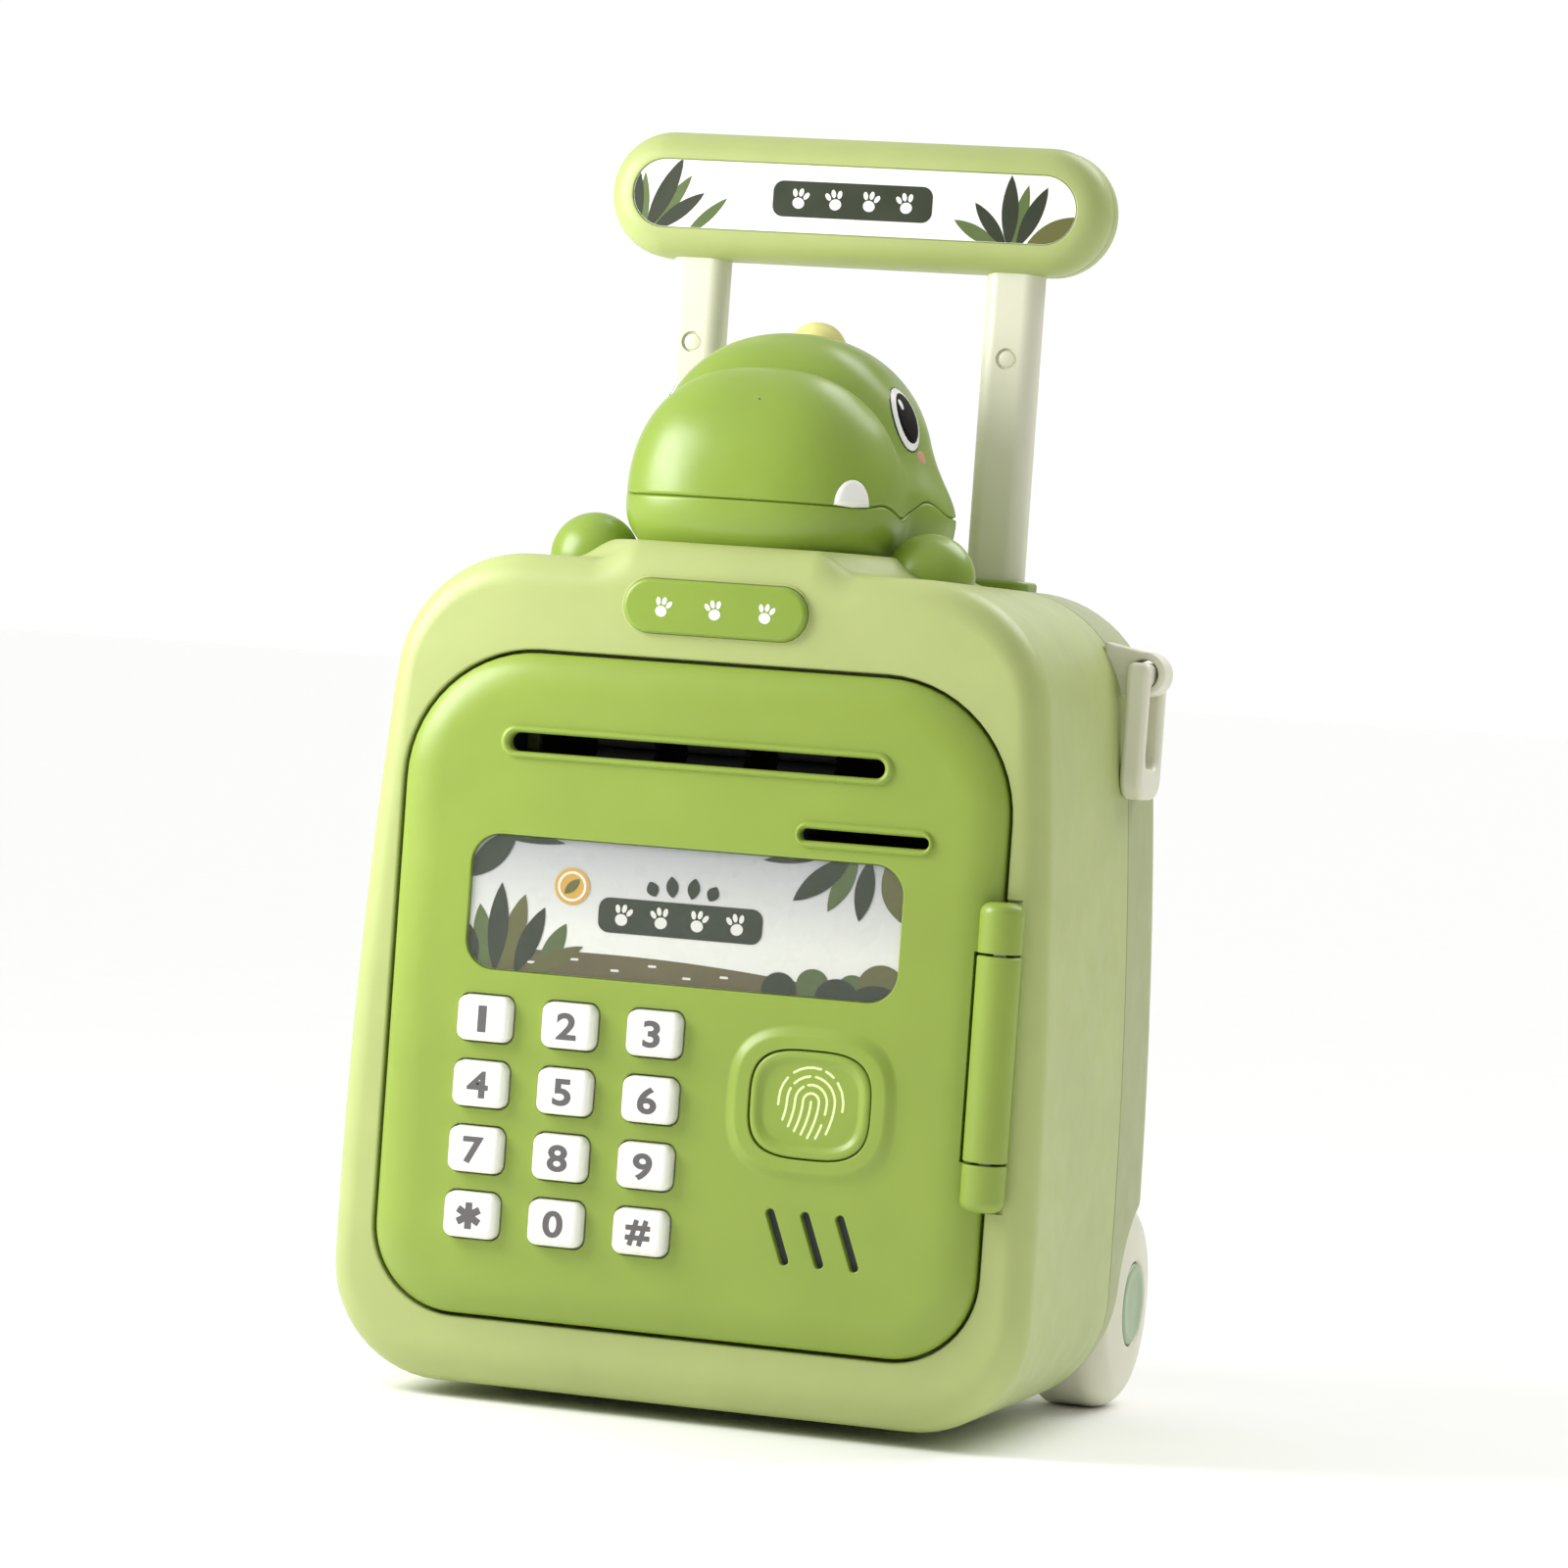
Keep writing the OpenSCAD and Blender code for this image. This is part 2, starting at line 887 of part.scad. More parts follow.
// Back cover of the door, with the battery bay
module door_cover() {
    lid_seat = 1.6;
    color(grey_green)
    difference() {
        union() {
            difference() {
                along_y(rim_back, cover_back)
                    polygon(door_outline(-cover_in));
                along_y(rim_back - 1, cover_back - cover_wall)
                    polygon(door_outline(-cover_in - cover_wall));
            }
            block([bay[0][0] - 1.6, bay_front, bay[0][1] - 1.6], [bay[1][0] + 1.6, cover_back - 1, bay[1][1] + 1.6]);
            for (p = door_screw_at)
                rod_y(p[0], -52, cover_back - 1, p[1], screw_post_r);
        }
        block([bay[0][0], bay_front + 1, bay[0][1]], [bay[1][0], -20, bay[1][1]]);
        along_y(cover_back - lid_seat, -20)
            polygon(rounded(bay[0] - [2.5, 2.5], bay[1] + [2.5, 2.5], 2));
        for (p = door_screw_at) {
            rod_y(p[0], -60, -40, p[1], 1.5);
            rod_y(p[0], cover_back - 3, -40, p[1], 2.8);
        }
        // ways out for a note, for a coin and for the lock bolt
        block([-48, -50, note_z - 3.2], [48, -40, note_z + 3.2]);
        block([23, -50, coin_z - 3], [58, -40, coin_z + 3]);
        bolt_way(-80, -60, 0.2);
    }
}

module door_screws() {
    color(steel)
    for (p = door_screw_at) {
        rod_y(p[0], -62, cover_back - 3, p[1], 1.1);
        rod_y(p[0], cover_back - 3, cover_back - 1.2, p[1], 2.5);
    }
}

module window_lens() {
    color("lightblue")
    along_y(lens_face, card_face - 0.05)
        polygon(rounded(window[0] + [0.2, 0.2], window[1] - [0.2, 0.2], window_r - 0.2));
}

module window_card() {
    color("white")
    along_y(card_face, card_back)
        polygon(rounded(window[0] + [0.2, 0.2], window[1] - [0.2, 0.2], window_r - 0.2));
}

module main_board() {
    color("darkgreen")
    difference() {
        union() {
            block([-57, board_y, 35], [9, board_back, 99]);
            block([-57, board_y, 62], [50, board_back, 99]);
            // switch behind the fingerprint button
            block([28, mat_y, 73], [36, board_y + eps, 81]);
        }
        for (p = door_screw_at)
            rod_y(p[0], -90, -40, p[1], 3.6);
    }
}

module key_mat() {
    color(grey)
    block([-56, mat_y, 36.5], [4, board_y, 98]);
}

module speaker() {
    color(dark)
    union() {
        rod_y(speaker_at[0], skin_y, -61, speaker_at[1], speaker_r);
        rod_y(speaker_at[0], -61.5, -55, speaker_at[1], 8);
    }
}

module batteries() {
    color("dimgray")
    for (z = cell_z) {
        rod_x(-49, 3.4, cell_y, z, cell_r);
        rod_x(3.3, 4.6, cell_y, z, 2.6);
    }
}

module battery_cover() {
    color(grey_green)
    along_y(cover_back - 1.6, cover_back)
        polygon(rounded(bay[0] - [2.3, 2.3], bay[1] + [2.3, 2.3], 1.8));
}

module lock_actuator() {
    color(dark)
    difference() {
        block([-58, -60.5, lock_z - 7], [-34, -47, lock_z + 7]);
        bolt_way(-70, -40, 0.1);
    }
}

module lock_bolt() {
    color(steel)
    bolt_way(bolt_end[0], bolt_end[1], 0);
}

module coin_chute() {
    color(dark)
    difference() {
        block([23, skin_y, coin_z - 3], [58, cover_back, coin_z + 3]);
        block([coin_mouth[0][0], -90, coin_z - 1.8], [coin_mouth[1][0], -20, coin_z + 1.8]);
    }
}

// ---- Note feed -------------------------------------------------------------

module roller_frame() {
    color(dark)
    difference() {
        union() {
            both_sides()
                block([frame_half - frame_t, skin_y, 146], [frame_half, -50, 163]);
            block([-frame_half, -64, 162.5], [frame_half, -50, 165]);
        }
        for (z = [drive_z, idler_z])
            rod_x(-80, 80, feed_y, z, shaft_r + running);
    }
}

module roller(z, x0) {
    rod_x(x0, frame_half + 1, feed_y, z, shaft_r);
    for (x = [-22, 0, 22])
        rod_x(x - 7, x + 7, feed_y, z, tyre_r);
}

module drive_roller() {
    color(dark)
        roller(drive_z, gear_x - 3);
}

module idler_roller() {
    color(dark)
        roller(idler_z, -frame_half - 1);
}

// Points of an involute gear outline: teeth n, module m, turned by phase degrees
function involute(base, t) =
    [base * (cos(t) + t * PI / 180 * sin(t)), base * (sin(t) - t * PI / 180 * cos(t))];
function polar(p) = [norm(p), atan2(p[1], p[0])];
function gear_outline(n, m, phase, play) =
    let (pitch = n * m / 2)
    let (base = pitch * cos(20))
    let (root = pitch - 1.15 * m)
    let (tip = pitch + 0.9 * m)
    let (start = max(base, root))
    let (t_at = function(r) sqrt(max(pow(r / base, 2) - 1, 0)) * 180 / PI)
    let (at_pitch = polar(involute(base, t_at(pitch)))[1])
    let (half = 90 / n - play / pitch * 90 / PI + at_pitch)
    let (side = [for (i = [0:4]) let (r = start + (tip - start) * i / 4)
        let (p = polar(involute(base, t_at(r)))) [p[0], half - p[1]]])
    let (tooth = concat([[root, side[0][1]]], side))
    [for (k = [0:n - 1])
        let (mid = phase + k * 360 / n)
        each concat(
            [for (p = tooth) [p[0] * cos(mid - p[1]), p[0] * sin(mid - p[1])]],
            [for (i = [5:-1:0]) let (p = tooth[i]) [p[0] * cos(mid + p[1]), p[0] * sin(mid + p[1])]])];

module gear(n, phase, z, bore) {
    translate([gear_x - gear_w / 2, feed_y, z])
        rotate([90, 0, 90])
            linear_extrude(gear_w)
                difference() {
                    polygon(gear_outline(n, gear_module, phase, 0.12));
                    circle(bore);
                }
}

module drive_gear() {
    color("white")
        gear(gear_teeth, -90, drive_z, shaft_r);
}

module motor_pinion() {
    color(steel)
    union() {
        gear(pinion_teeth, 90 + 180 / pinion_teeth, motor_z, 0.5);
        rod_x(gear_x - 2, -42, feed_y, motor_z, 0.75);
    }
}

module feed_motor() {
    color(grey)
    difference() {
        block([-48, feed_y - 6, motor_z - 5], [-30, feed_y + 6, motor_z + 5]);
        rod_x(-50, -40, feed_y, motor_z, 0.75 + running);
    }
}

// ---- Keys and button -------------------------------------------------------

module key(col, row) {
    color(cream)
    translate([key_x0 + col * key_pitch_x, 0, key_z0 - row * key_pitch_z]) {
        along_y(cap_front, flange_y + 0.5)
            polygon(centred([key_w, key_h], 2.4));
        along_y(flange_y, flange_back)
            polygon(centred(key_flange, 2));
    }
}

module finger_button() {
    color(door_green)
    at_button() {
        along_y(face_y - 0.4, flange_y + 0.5)
            polygon(centred(button_cap, 8.7));
        along_y(flange_y, flange_back)
            polygon(centred(button_well, 9));
    }
}

module key_1() {
    key(0, 0);
}

module key_2() {
    key(1, 0);
}

module key_3() {
    key(2, 0);
}

module key_4() {
    key(0, 1);
}

module key_5() {
    key(1, 1);
}

module key_6() {
    key(2, 1);
}

module key_7() {
    key(0, 2);
}

module key_8() {
    key(1, 2);
}

module key_9() {
    key(2, 2);
}

module key_star() {
    key(0, 3);
}

module key_0() {
    key(1, 3);
}

module key_hash() {
    key(2, 3);
}

front_shell();
rear_shell();
hinge_knuckle();
hinge_pin();
nameplate();
head_upper();
head_jaw();
head_crest();
eyes();
tooth();
paws();
post_collars();
post_guides();
front_feet();
strap_lugs();
axle_pins();
shell_screws();
ring_left();
ring_right();
wheel_left();
wheel_right();
hub_left();
hub_right();
handle_posts();
grip_front();
grip_rear();
grip_label();
grip_screws();
door_panel();
door_cover();
door_screws();
window_lens();
window_card();
roller_frame();
feed_motor();
coin_chute();
key_mat();
main_board();
speaker();
batteries();
battery_cover();
lock_actuator();
drive_roller();
drive_gear();
idler_roller();
motor_pinion();
lock_bolt();
finger_button();
key_1();
key_2();
key_3();
key_4();
key_5();
key_6();
key_7();
key_8();
key_9();
key_star();
key_0();
key_hash();
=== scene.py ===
"""Looks of the toy safe coin bank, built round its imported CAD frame.

Lengths are millimetres until build() makes the mesh in metres. X runs to the viewer's right, Y from the
door to the back, Z up from the floor. An outline is an array of (u, v) pairs across an axis, and outline
functions take grow, the distance by which the outline stands out from its nominal size.
"""

import json
import math

import bmesh
import bpy
import numpy as np
from mathutils import Matrix, Vector
from mathutils.geometry import delaunay_2d_cdt


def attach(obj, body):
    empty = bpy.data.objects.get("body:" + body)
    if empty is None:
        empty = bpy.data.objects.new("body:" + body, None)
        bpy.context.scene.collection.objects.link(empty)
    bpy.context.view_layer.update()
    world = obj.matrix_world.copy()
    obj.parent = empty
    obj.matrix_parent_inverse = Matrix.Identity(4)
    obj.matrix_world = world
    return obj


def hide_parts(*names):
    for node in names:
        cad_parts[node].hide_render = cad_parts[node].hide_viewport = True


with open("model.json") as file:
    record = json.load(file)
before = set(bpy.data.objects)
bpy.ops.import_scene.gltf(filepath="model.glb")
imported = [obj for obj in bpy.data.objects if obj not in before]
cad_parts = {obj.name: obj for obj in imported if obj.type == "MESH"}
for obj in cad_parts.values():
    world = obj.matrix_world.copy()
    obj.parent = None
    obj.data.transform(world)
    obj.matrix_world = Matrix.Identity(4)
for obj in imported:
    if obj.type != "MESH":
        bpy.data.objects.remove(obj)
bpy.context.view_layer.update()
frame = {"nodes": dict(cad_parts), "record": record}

MM = 0.001

# Cabinet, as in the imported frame
FRONT_Y, REAR_Y, SPLIT_Y = -66.5, 57.5, 14.0
BOTTOM_Z, CROWN_Z = 3.5, 203.5
LOW_CORNER, TOP_CORNER, HEEL = 27.0, 31.0, 48.0
SHOULDER_X, SHOULDER_Z, MOUND = 48.4, 198.6, (34.0, 45.0)
REAR_EDGE, FRONT_DEPTH, WALL, GROOVE = 20.0, 8.0, 2.4, 0.45
HEEL_Y, HEEL_Z = 9.5, 51.5
LIP_Y, LIP_BACK = -59.5, -57.5
SHELL_SCREWS = ((79.2, 78.0), (65.9, 188.4))

# Door
DOOR_HALF, DOOR_LOW, DOOR_HIGH = 73.0, 20.5, 175.5
DOOR_TOP_R, DOOR_FOOT_R = 31.0, 20.0
FACE_Y, SKIN_Y, RIM_BACK = -70.5, -68.2, -60.0
CROWN_IN, CROWN_DEEP = 10.0, 5.0
GAP = 0.8
HINGE_X, HINGE_Y, BARREL_R = 74.2, -70.5, 5.1
CAP_LOW, CAP_HIGH = (56.5, 67.3), (115.2, 126.8)
KNUCKLE = (67.9, 114.6)
NOTE_Z, COIN_Z = 154.7, 138.6
WINDOW = (-54.0, 101.4, 50.5, 133.0)
WINDOW_R, CARD_Y, CARD_BACK = 7.0, -69.3, -68.9
PANE_Y, PANE_BACK = -70.3, -69.62
BUTTON, BUTTON_FACE, BUTTON_BACK = (32.3, 77.0), -70.9, -66.9
KEY_START, KEY_PITCH = (-47.6, 90.0), (20.75, 15.28)
KEY_SIZE = (13.4, 11.0)

# Handle, wheels, strap rings
POST_X, POST_Y = 40.2, 28.5
GRIP_Z, GRIP_H, GRIP_HALF, GRIP_HALF_T = 275.0, 31.0, 63.5, 10.0
WHEEL_R, WHEEL_Y, WHEEL_IN, HUB_R = 26.0, 49.6, 62.0, 10.0
RING_X, RING_Y, RING_Z, RING_R = 83.4, 14.0, 180.5, 2.75
SIDES = ((1, "right"), (-1, "left"))

# Head
MOUTH_Z = 214.2
PAW, PAW_Z, PAW_RADII = (41.4, -34.3), 199.3, (10.6, 10.2, 10.4)
CREST_Y, CREST_Z, CREST_TOP, CREST_R = -1.5, 251.4, 259.4, 7.4


# ---- Outlines ----

def arc(u, v, r, start, end, steps):
    turn = np.radians(np.linspace(start, end, steps + 1))
    return np.column_stack([u + r * np.cos(turn), v + r * np.sin(turn)])


def line(a, b, steps):
    share = np.linspace(0, 1, steps + 1)[:, None]
    return np.asarray(a) * (1 - share) + np.asarray(b) * share


def join(*runs):
    """One run of points from several that share their end points."""
    return np.concatenate([runs[0]] + [run[1:] for run in runs[1:]])


def mirrored(half):
    """A closed outline from its right half, which runs from bottom centre to top centre."""
    return np.concatenate([half, half[1:-1][::-1] * [-1, 1]])


def rounded(u0, v0, u1, v1, r, steps=7):
    return np.concatenate([
        arc(u1 - r, v0 + r, r, -90, 0, steps), arc(u1 - r, v1 - r, r, 0, 90, steps),
        arc(u0 + r, v1 - r, r, 90, 180, steps), arc(u0 + r, v0 + r, r, 180, 270, steps)])


def panel(u0, v0, u1, v1, r, steps=7):
    """Outline function of a rounded rectangle."""
    return lambda grow=0.0: rounded(u0 - grow, v0 - grow, u1 + grow, v1 + grow, r + grow, steps)


def centred(u, v, width, height, r, steps=7):
    return panel(u - width / 2, v - height / 2, u + width / 2, v + height / 2, r, steps)


def squircle(u, v, width, height, power=3.0, steps=96):
    """Outline function of a rounded square with no straight sides."""
    turn = np.linspace(0, 2 * math.pi, steps, endpoint=False)
    cos, sin = np.cos(turn), np.sin(turn)
    across = np.sign(cos) * np.abs(cos) ** (2 / power)
    up = np.sign(sin) * np.abs(sin) ** (2 / power)
    return lambda grow=0.0: np.column_stack([u + (width / 2 + grow) * across, v + (height / 2 + grow) * up])


def circle(u, v, r, steps=48):
    return lambda grow=0.0: arc(u, v, r + grow, 0, 360, steps)[:-1]


def spin(degrees):
    """Matrix that turns rows of points counter-clockwise."""
    c, s = math.cos(math.radians(degrees)), math.sin(math.radians(degrees))
    return np.array([[c, s], [-s, c]])


def turned(outline, centre, degrees):
    """The outline function turned about centre."""
    return lambda grow=0.0: (outline(grow) - centre) @ spin(degrees) + centre


def quarter(steps):
    """Pairs that follow a rounded edge: the share by which it is still drawn in, and how deep it has gone."""
    return [(1 - math.sin(t), 1 - math.cos(t)) for t in np.radians(np.linspace(0, 90, steps + 1))]


def normals(along):
    """Unit vectors to the right of each direction."""
    return np.column_stack([along[:, 1], -along[:, 0]]) / np.linalg.norm(along, axis=1)[:, None]


def loop_normals(loop):
    return normals(np.roll(loop, -1, 0) - np.roll(loop, 1, 0))


def grown(loop, amount):
    """A closed loop moved out along its own normals."""
    return loop + loop_normals(loop) * np.broadcast_to(amount, len(loop))[:, None]


def side_x(z):
    """Half width of the cabinet at height z."""
    return 84.9 - 0.00038 * np.maximum(z - 45, 0) ** 2


def top_line(rise, narrower=0.0):
    """The cabinet's top seen from the front, from its right shoulder to its middle. The mound under the head
    rises to the full height when rise is 1. Its flanks stand further in by narrower."""
    foot, brow = MOUND[1] - narrower, MOUND[0] - narrower
    corner = arc(SHOULDER_X, SHOULDER_Z - TOP_CORNER, TOP_CORNER, 5, 90, 14)
    x = np.concatenate([[46.5], np.linspace(foot, brow, 12), np.linspace(brow - 3, 0, 8)])
    share = np.clip((foot - x) / (foot - brow), 0, 1)
    z = SHOULDER_Z + rise * (CROWN_Z - SHOULDER_Z) * share ** 2 * (3 - 2 * share)
    return np.concatenate([corner, np.column_stack([x, z])])


def cabinet_outline(foot=BOTTOM_Z, rise=0.0, narrower=0.0):
    """The cabinet seen from the front, with its underside at height foot."""
    low_z = foot + LOW_CORNER
    low = arc(side_x(low_z) - LOW_CORNER, low_z, LOW_CORNER, -90, 0, 14)
    high = top_line(rise, narrower)
    heights = np.linspace(low_z, high[0][1], 31)
    across = side_x(heights)
    across += (high[0][0] - across[-1]) * np.linspace(0, 1, 31) ** 3
    side = np.column_stack([across, heights])
    return mirrored(join(line((0, foot), low[0], 12), low, side, high))


def door_outline(grow=0.0):
    foot = arc(DOOR_HALF - DOOR_FOOT_R, DOOR_LOW + DOOR_FOOT_R, DOOR_FOOT_R + grow, -90, 0, 14)
    head = arc(DOOR_HALF - DOOR_TOP_R, DOOR_HIGH - DOOR_TOP_R, DOOR_TOP_R + grow, 0, 90, 14)
    return mirrored(join(
        line((0, DOOR_LOW - grow), foot[0], 12), foot, line(foot[-1], head[0], 30), head,
        line(head[-1], (0, DOOR_HIGH + grow), 12)))


# ---- Meshes ----

def within(point, loop):
    """True if the point lies inside the closed loop."""
    u, v = point
    a, b = loop, np.roll(loop, -1, 0)
    spans = (a[:, 1] > v) != (b[:, 1] > v)
    a, b = a[spans], b[spans]
    return np.count_nonzero(u < a[:, 0] + (v - a[:, 1]) * (b[:, 0] - a[:, 0]) / (b[:, 1] - a[:, 1])) % 2 == 1


class Solid:
    """A surface put together from loops of points. A loop is an outline at a depth along the axis."""

    ORDERS = {"x": (2, 0, 1), "y": (0, 2, 1), "z": (0, 1, 2)}

    def __init__(self, axis="y"):
        self.order = self.ORDERS[axis]
        self.points, self.faces = [], []

    def loop(self, outline, depth):
        start = len(self.points)
        depths = np.broadcast_to(depth, len(outline))
        self.points.extend(map(tuple, np.column_stack([outline, depths])[:, self.order]))
        return list(range(start, len(self.points)))

    def strip(self, a, b):
        n = max(len(a), len(b))
        for i in range(n):
            face = [a[i % len(a)], a[(i + 1) % len(a)], b[(i + 1) % len(b)], b[i % len(b)]]
            self.faces.append(list(dict.fromkeys(face)))

    def sweep(self, rings, start=None):
        """Skins (outline, depth) rings one after another. Returns the first and the last loop."""
        first = last = start
        for outline, depth in rings:
            ring = self.loop(outline, depth)
            if last is None:
                first = ring
            else:
                self.strip(last, ring)
            last = ring
        return first, last

    def capped(self, rings):
        """Skins the rings and closes both ends."""
        for end in self.sweep(rings):
            self.fill(end)
        return self

    def fill(self, outer, holes=()):
        """A flat face inside loop outer, open at the holes."""
        loops = [outer, *holes]
        ids = [i for loop in loops for i in loop]
        corners = np.array([self.points[i] for i in ids])
        flat = np.delete(corners, np.argmin(np.ptp(corners, axis=0)), axis=1)
        edges, polygons, start = [], [], 0
        for loop in loops:
            n = len(loop)
            edges += [(start + i, start + (i + 1) % n) for i in range(n)]
            polygons.append(flat[start:start + n])
            start += n
        found = delaunay_2d_cdt([Vector(p) for p in flat], edges, [], 0, 1e-5)
        for triangle in found[2]:
            middle = sum((found[0][i] for i in triangle), Vector((0, 0))) / 3
            if within(middle, polygons[0]) and not any(within(middle, p) for p in polygons[1:]):
                self.faces.append([ids[found[3][i][0]] for i in triangle])

    def add(self, other):
        shift = len(self.points)
        self.points += other.points
        self.faces += [[i + shift for i in face] for face in other.faces]
        return self

    def flipped(self):
        """The mirror image on the other side of X = 0."""
        twin = Solid()
        twin.points = [(-x, y, z) for x, y, z in self.points]
        twin.faces = [list(face)[::-1] for face in self.faces]
        return twin

    def mirror(self):
        """This solid and its mirror image."""
        return Solid().add(self).add(self.flipped())

    def on(self, side):
        """This solid on the right, side 1, or its mirror image on the left, side -1."""
        return self if side > 0 else self.flipped()


def rings_of(outline, *pairs):
    """Rings of one outline function from (grow, depth) pairs."""
    return [(outline(grow), depth) for grow, depth in pairs]


def edge_rings(outline, depth, edge, steps=5):
    """Rings of a rounded edge from the face at depth, inset by the edge's size, to full size. A negative
    edge runs the other way along the axis."""
    if not edge:
        return rings_of(outline, (0.0, depth))
    return rings_of(outline, *[(-abs(edge) * away, depth + edge * deep) for away, deep in quarter(steps)])


def mouth_rings(outline, depth, edge, steps=3):
    """Rings of a hole's rounded mouth, from the face at depth inward."""
    return rings_of(outline, *[(edge * away, depth + edge * deep) for away, deep in quarter(steps)])


def slab(outline, low, high, low_edge=0.0, high_edge=0.0, axis="y", steps=5):
    """Solid between two depths, with rounded edges."""
    rings = edge_rings(outline, low, low_edge, steps) + edge_rings(outline, high, -high_edge, steps)[::-1]
    return Solid(axis).capped(rings)


def ring_slab(outer, inner, low, high, edge, axis="y", steps=4):
    """Solid between two depths and between an outer and an inner outline, with rounded edges."""
    solid = Solid(axis)
    sides = []
    for outline in (outer, inner):
        sign = 1 if outline is outer else -1
        shape = lambda grow=0.0, outline=outline, sign=sign: outline(sign * grow)
        rings = edge_rings(shape, low, edge, steps) + edge_rings(shape, high, -edge, steps)[::-1]
        sides.append(solid.sweep(rings))
    for end in (0, 1):
        solid.fill(sides[0][end], [sides[1][end]])
    return solid


def revolved(profile, centre, axis="z", steps=72, closed=False):
    """Solid turned about an axis through centre, from (radius, depth) pairs."""
    solid = Solid(axis)
    first, last = solid.sweep([(circle(*centre, r, steps)() if r else np.array([centre]), depth)
                               for r, depth in profile])
    if closed:
        solid.strip(last, first)
    return solid


def finish_mesh(mesh, sharp):
    """Welds the mesh, turns its faces outward and splits its shading at edges sharper than sharp degrees."""
    bm = bmesh.new()
    bm.from_mesh(mesh)
    bmesh.ops.remove_doubles(bm, verts=bm.verts, dist=1e-7)
    bmesh.ops.recalc_face_normals(bm, faces=bm.faces)
    bm.to_mesh(mesh)
    bm.free()
    mesh.shade_smooth()
    mesh.set_sharp_from_angle(angle=math.radians(sharp))


def in_scene(name, data):
    """A new object in the scene."""
    obj = bpy.data.objects.new(name, data)
    bpy.context.scene.collection.objects.link(obj)
    return obj


def evaluated(obj):
    """The mesh of an object as its modifiers leave it."""
    return bpy.data.meshes.new_from_object(obj.evaluated_get(bpy.context.evaluated_depsgraph_get()))


def plain_object(name, solid, sharp=38):
    mesh = bpy.data.meshes.new(name)
    mesh.from_pydata([Vector(p) * MM for p in solid.points], [], solid.faces)
    finish_mesh(mesh, sharp)
    return in_scene(name, mesh)


def carve(obj, cutter, sharp=38):
    """Cuts the cutter, a solid or an object, out of obj. The cutter is used up."""
    tool = plain_object("cutter", cutter) if isinstance(cutter, Solid) else cutter
    change = obj.modifiers.new("carve", "BOOLEAN")
    change.object, change.operation, change.solver = tool, "DIFFERENCE", "EXACT"
    result = evaluated(obj)
    obj.modifiers.clear()
    obj.data = result
    bpy.data.objects.remove(tool)
    finish_mesh(obj.data, sharp)


def dress(obj, slot, body, *nodes, material=None, weighted=True):
    """Gives a piece its finish, its body and the CAD nodes that it stands for."""
    obj.data.materials.clear()
    obj.data.materials.append(material or FINISHES[slot])
    if weighted:
        shading = obj.modifiers.new("weighted normals", "WEIGHTED_NORMAL")
        shading.keep_sharp = True
    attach(obj, body)
    if nodes:
        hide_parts(*nodes)
    return obj


def build(name, solid, slot, body, *nodes, sharp=38, material=None, weighted=True):
    return dress(plain_object(name, solid, sharp), slot, body, *nodes, material=material, weighted=weighted)


# ---- Materials ----

def linear(colour):
    """Linear RGBA of an sRGB colour in 0 to 255."""
    shares = [c / 255 for c in colour]
    return [c / 12.92 if c <= 0.04045 else ((c + 0.055) / 1.055) ** 2.4 for c in shares] + [1.0]


def placed(nodes, kind, **values):
    """A new shader node with the given numbers on its sockets."""
    node = nodes.new("ShaderNode" + kind)
    for socket, value in values.items():
        node.inputs[socket.replace("_", " ")].default_value = value
    return node


def noise(nodes, links, coords, scale, detail=3.0):
    node = placed(nodes, "TexNoise", Scale=scale, Detail=detail, Roughness=0.55)
    links.new(coords, node.inputs["Vector"])
    return node.outputs["Fac"]


def ramped(nodes, links, source, start, end, low, high):
    """Maps the source's range from start to end to the range from low to high."""
    node = placed(nodes, "MapRange", From_Min=start, From_Max=end, To_Min=low, To_Max=high)
    links.new(source, node.inputs["Value"])
    return node.outputs["Result"]


def blended(nodes, links, source, low, high, start=0.0, end=1.0):
    """Turns the source's range from start to end into colours from low to high."""
    ramp = nodes.new("ShaderNodeValToRGB")
    for stop, colour, position in zip(ramp.color_ramp.elements, (low, high), (start, end)):
        stop.color, stop.position = colour, position
    links.new(source, ramp.inputs["Fac"])
    return ramp.outputs["Color"]


def moulded(name, colour, roughness=0.38, vary=0.05, grain=0.10, grain_scale=2200, peel=0.05,
            metallic=0.0, coat=0.0, specular=0.5, blotch=30):
    """Moulded plastic, rubber, metal or ink: uneven colour and gloss, a fine grain and a slow waviness."""
    mat = bpy.data.materials.new(name)
    mat.use_nodes = True
    nodes, links = mat.node_tree.nodes, mat.node_tree.links
    bsdf = nodes["Principled BSDF"]
    coords = nodes.new("ShaderNodeTexCoord").outputs["Object"]
    base = np.array(linear(colour)[:3])
    tints = [[*np.clip(base * (1 + change), 0, 1), 1] for change in (-vary, vary)]
    links.new(blended(nodes, links, noise(nodes, links, coords, blotch), *tints, 0.3, 0.7),
              bsdf.inputs["Base Color"])
    gloss = ramped(nodes, links, noise(nodes, links, coords, 140), 0.3, 0.7, roughness * 0.88, roughness * 1.12)
    links.new(gloss, bsdf.inputs["Roughness"])
    waves = placed(nodes, "Bump", Strength=peel, Distance=0.0006)
    links.new(noise(nodes, links, coords, 90, 2.0), waves.inputs["Height"])
    fine = placed(nodes, "Bump", Strength=grain, Distance=0.00005)
    links.new(noise(nodes, links, coords, grain_scale, 2.0), fine.inputs["Height"])
    links.new(waves.outputs["Normal"], fine.inputs["Normal"])
    links.new(fine.outputs["Normal"], bsdf.inputs["Normal"])
    for socket, value in (("Metallic", metallic), ("Specular IOR Level", specular), ("Coat Weight", coat),
                          ("Coat Roughness", 0.12)):
        bsdf.inputs[socket].default_value = value
    return mat


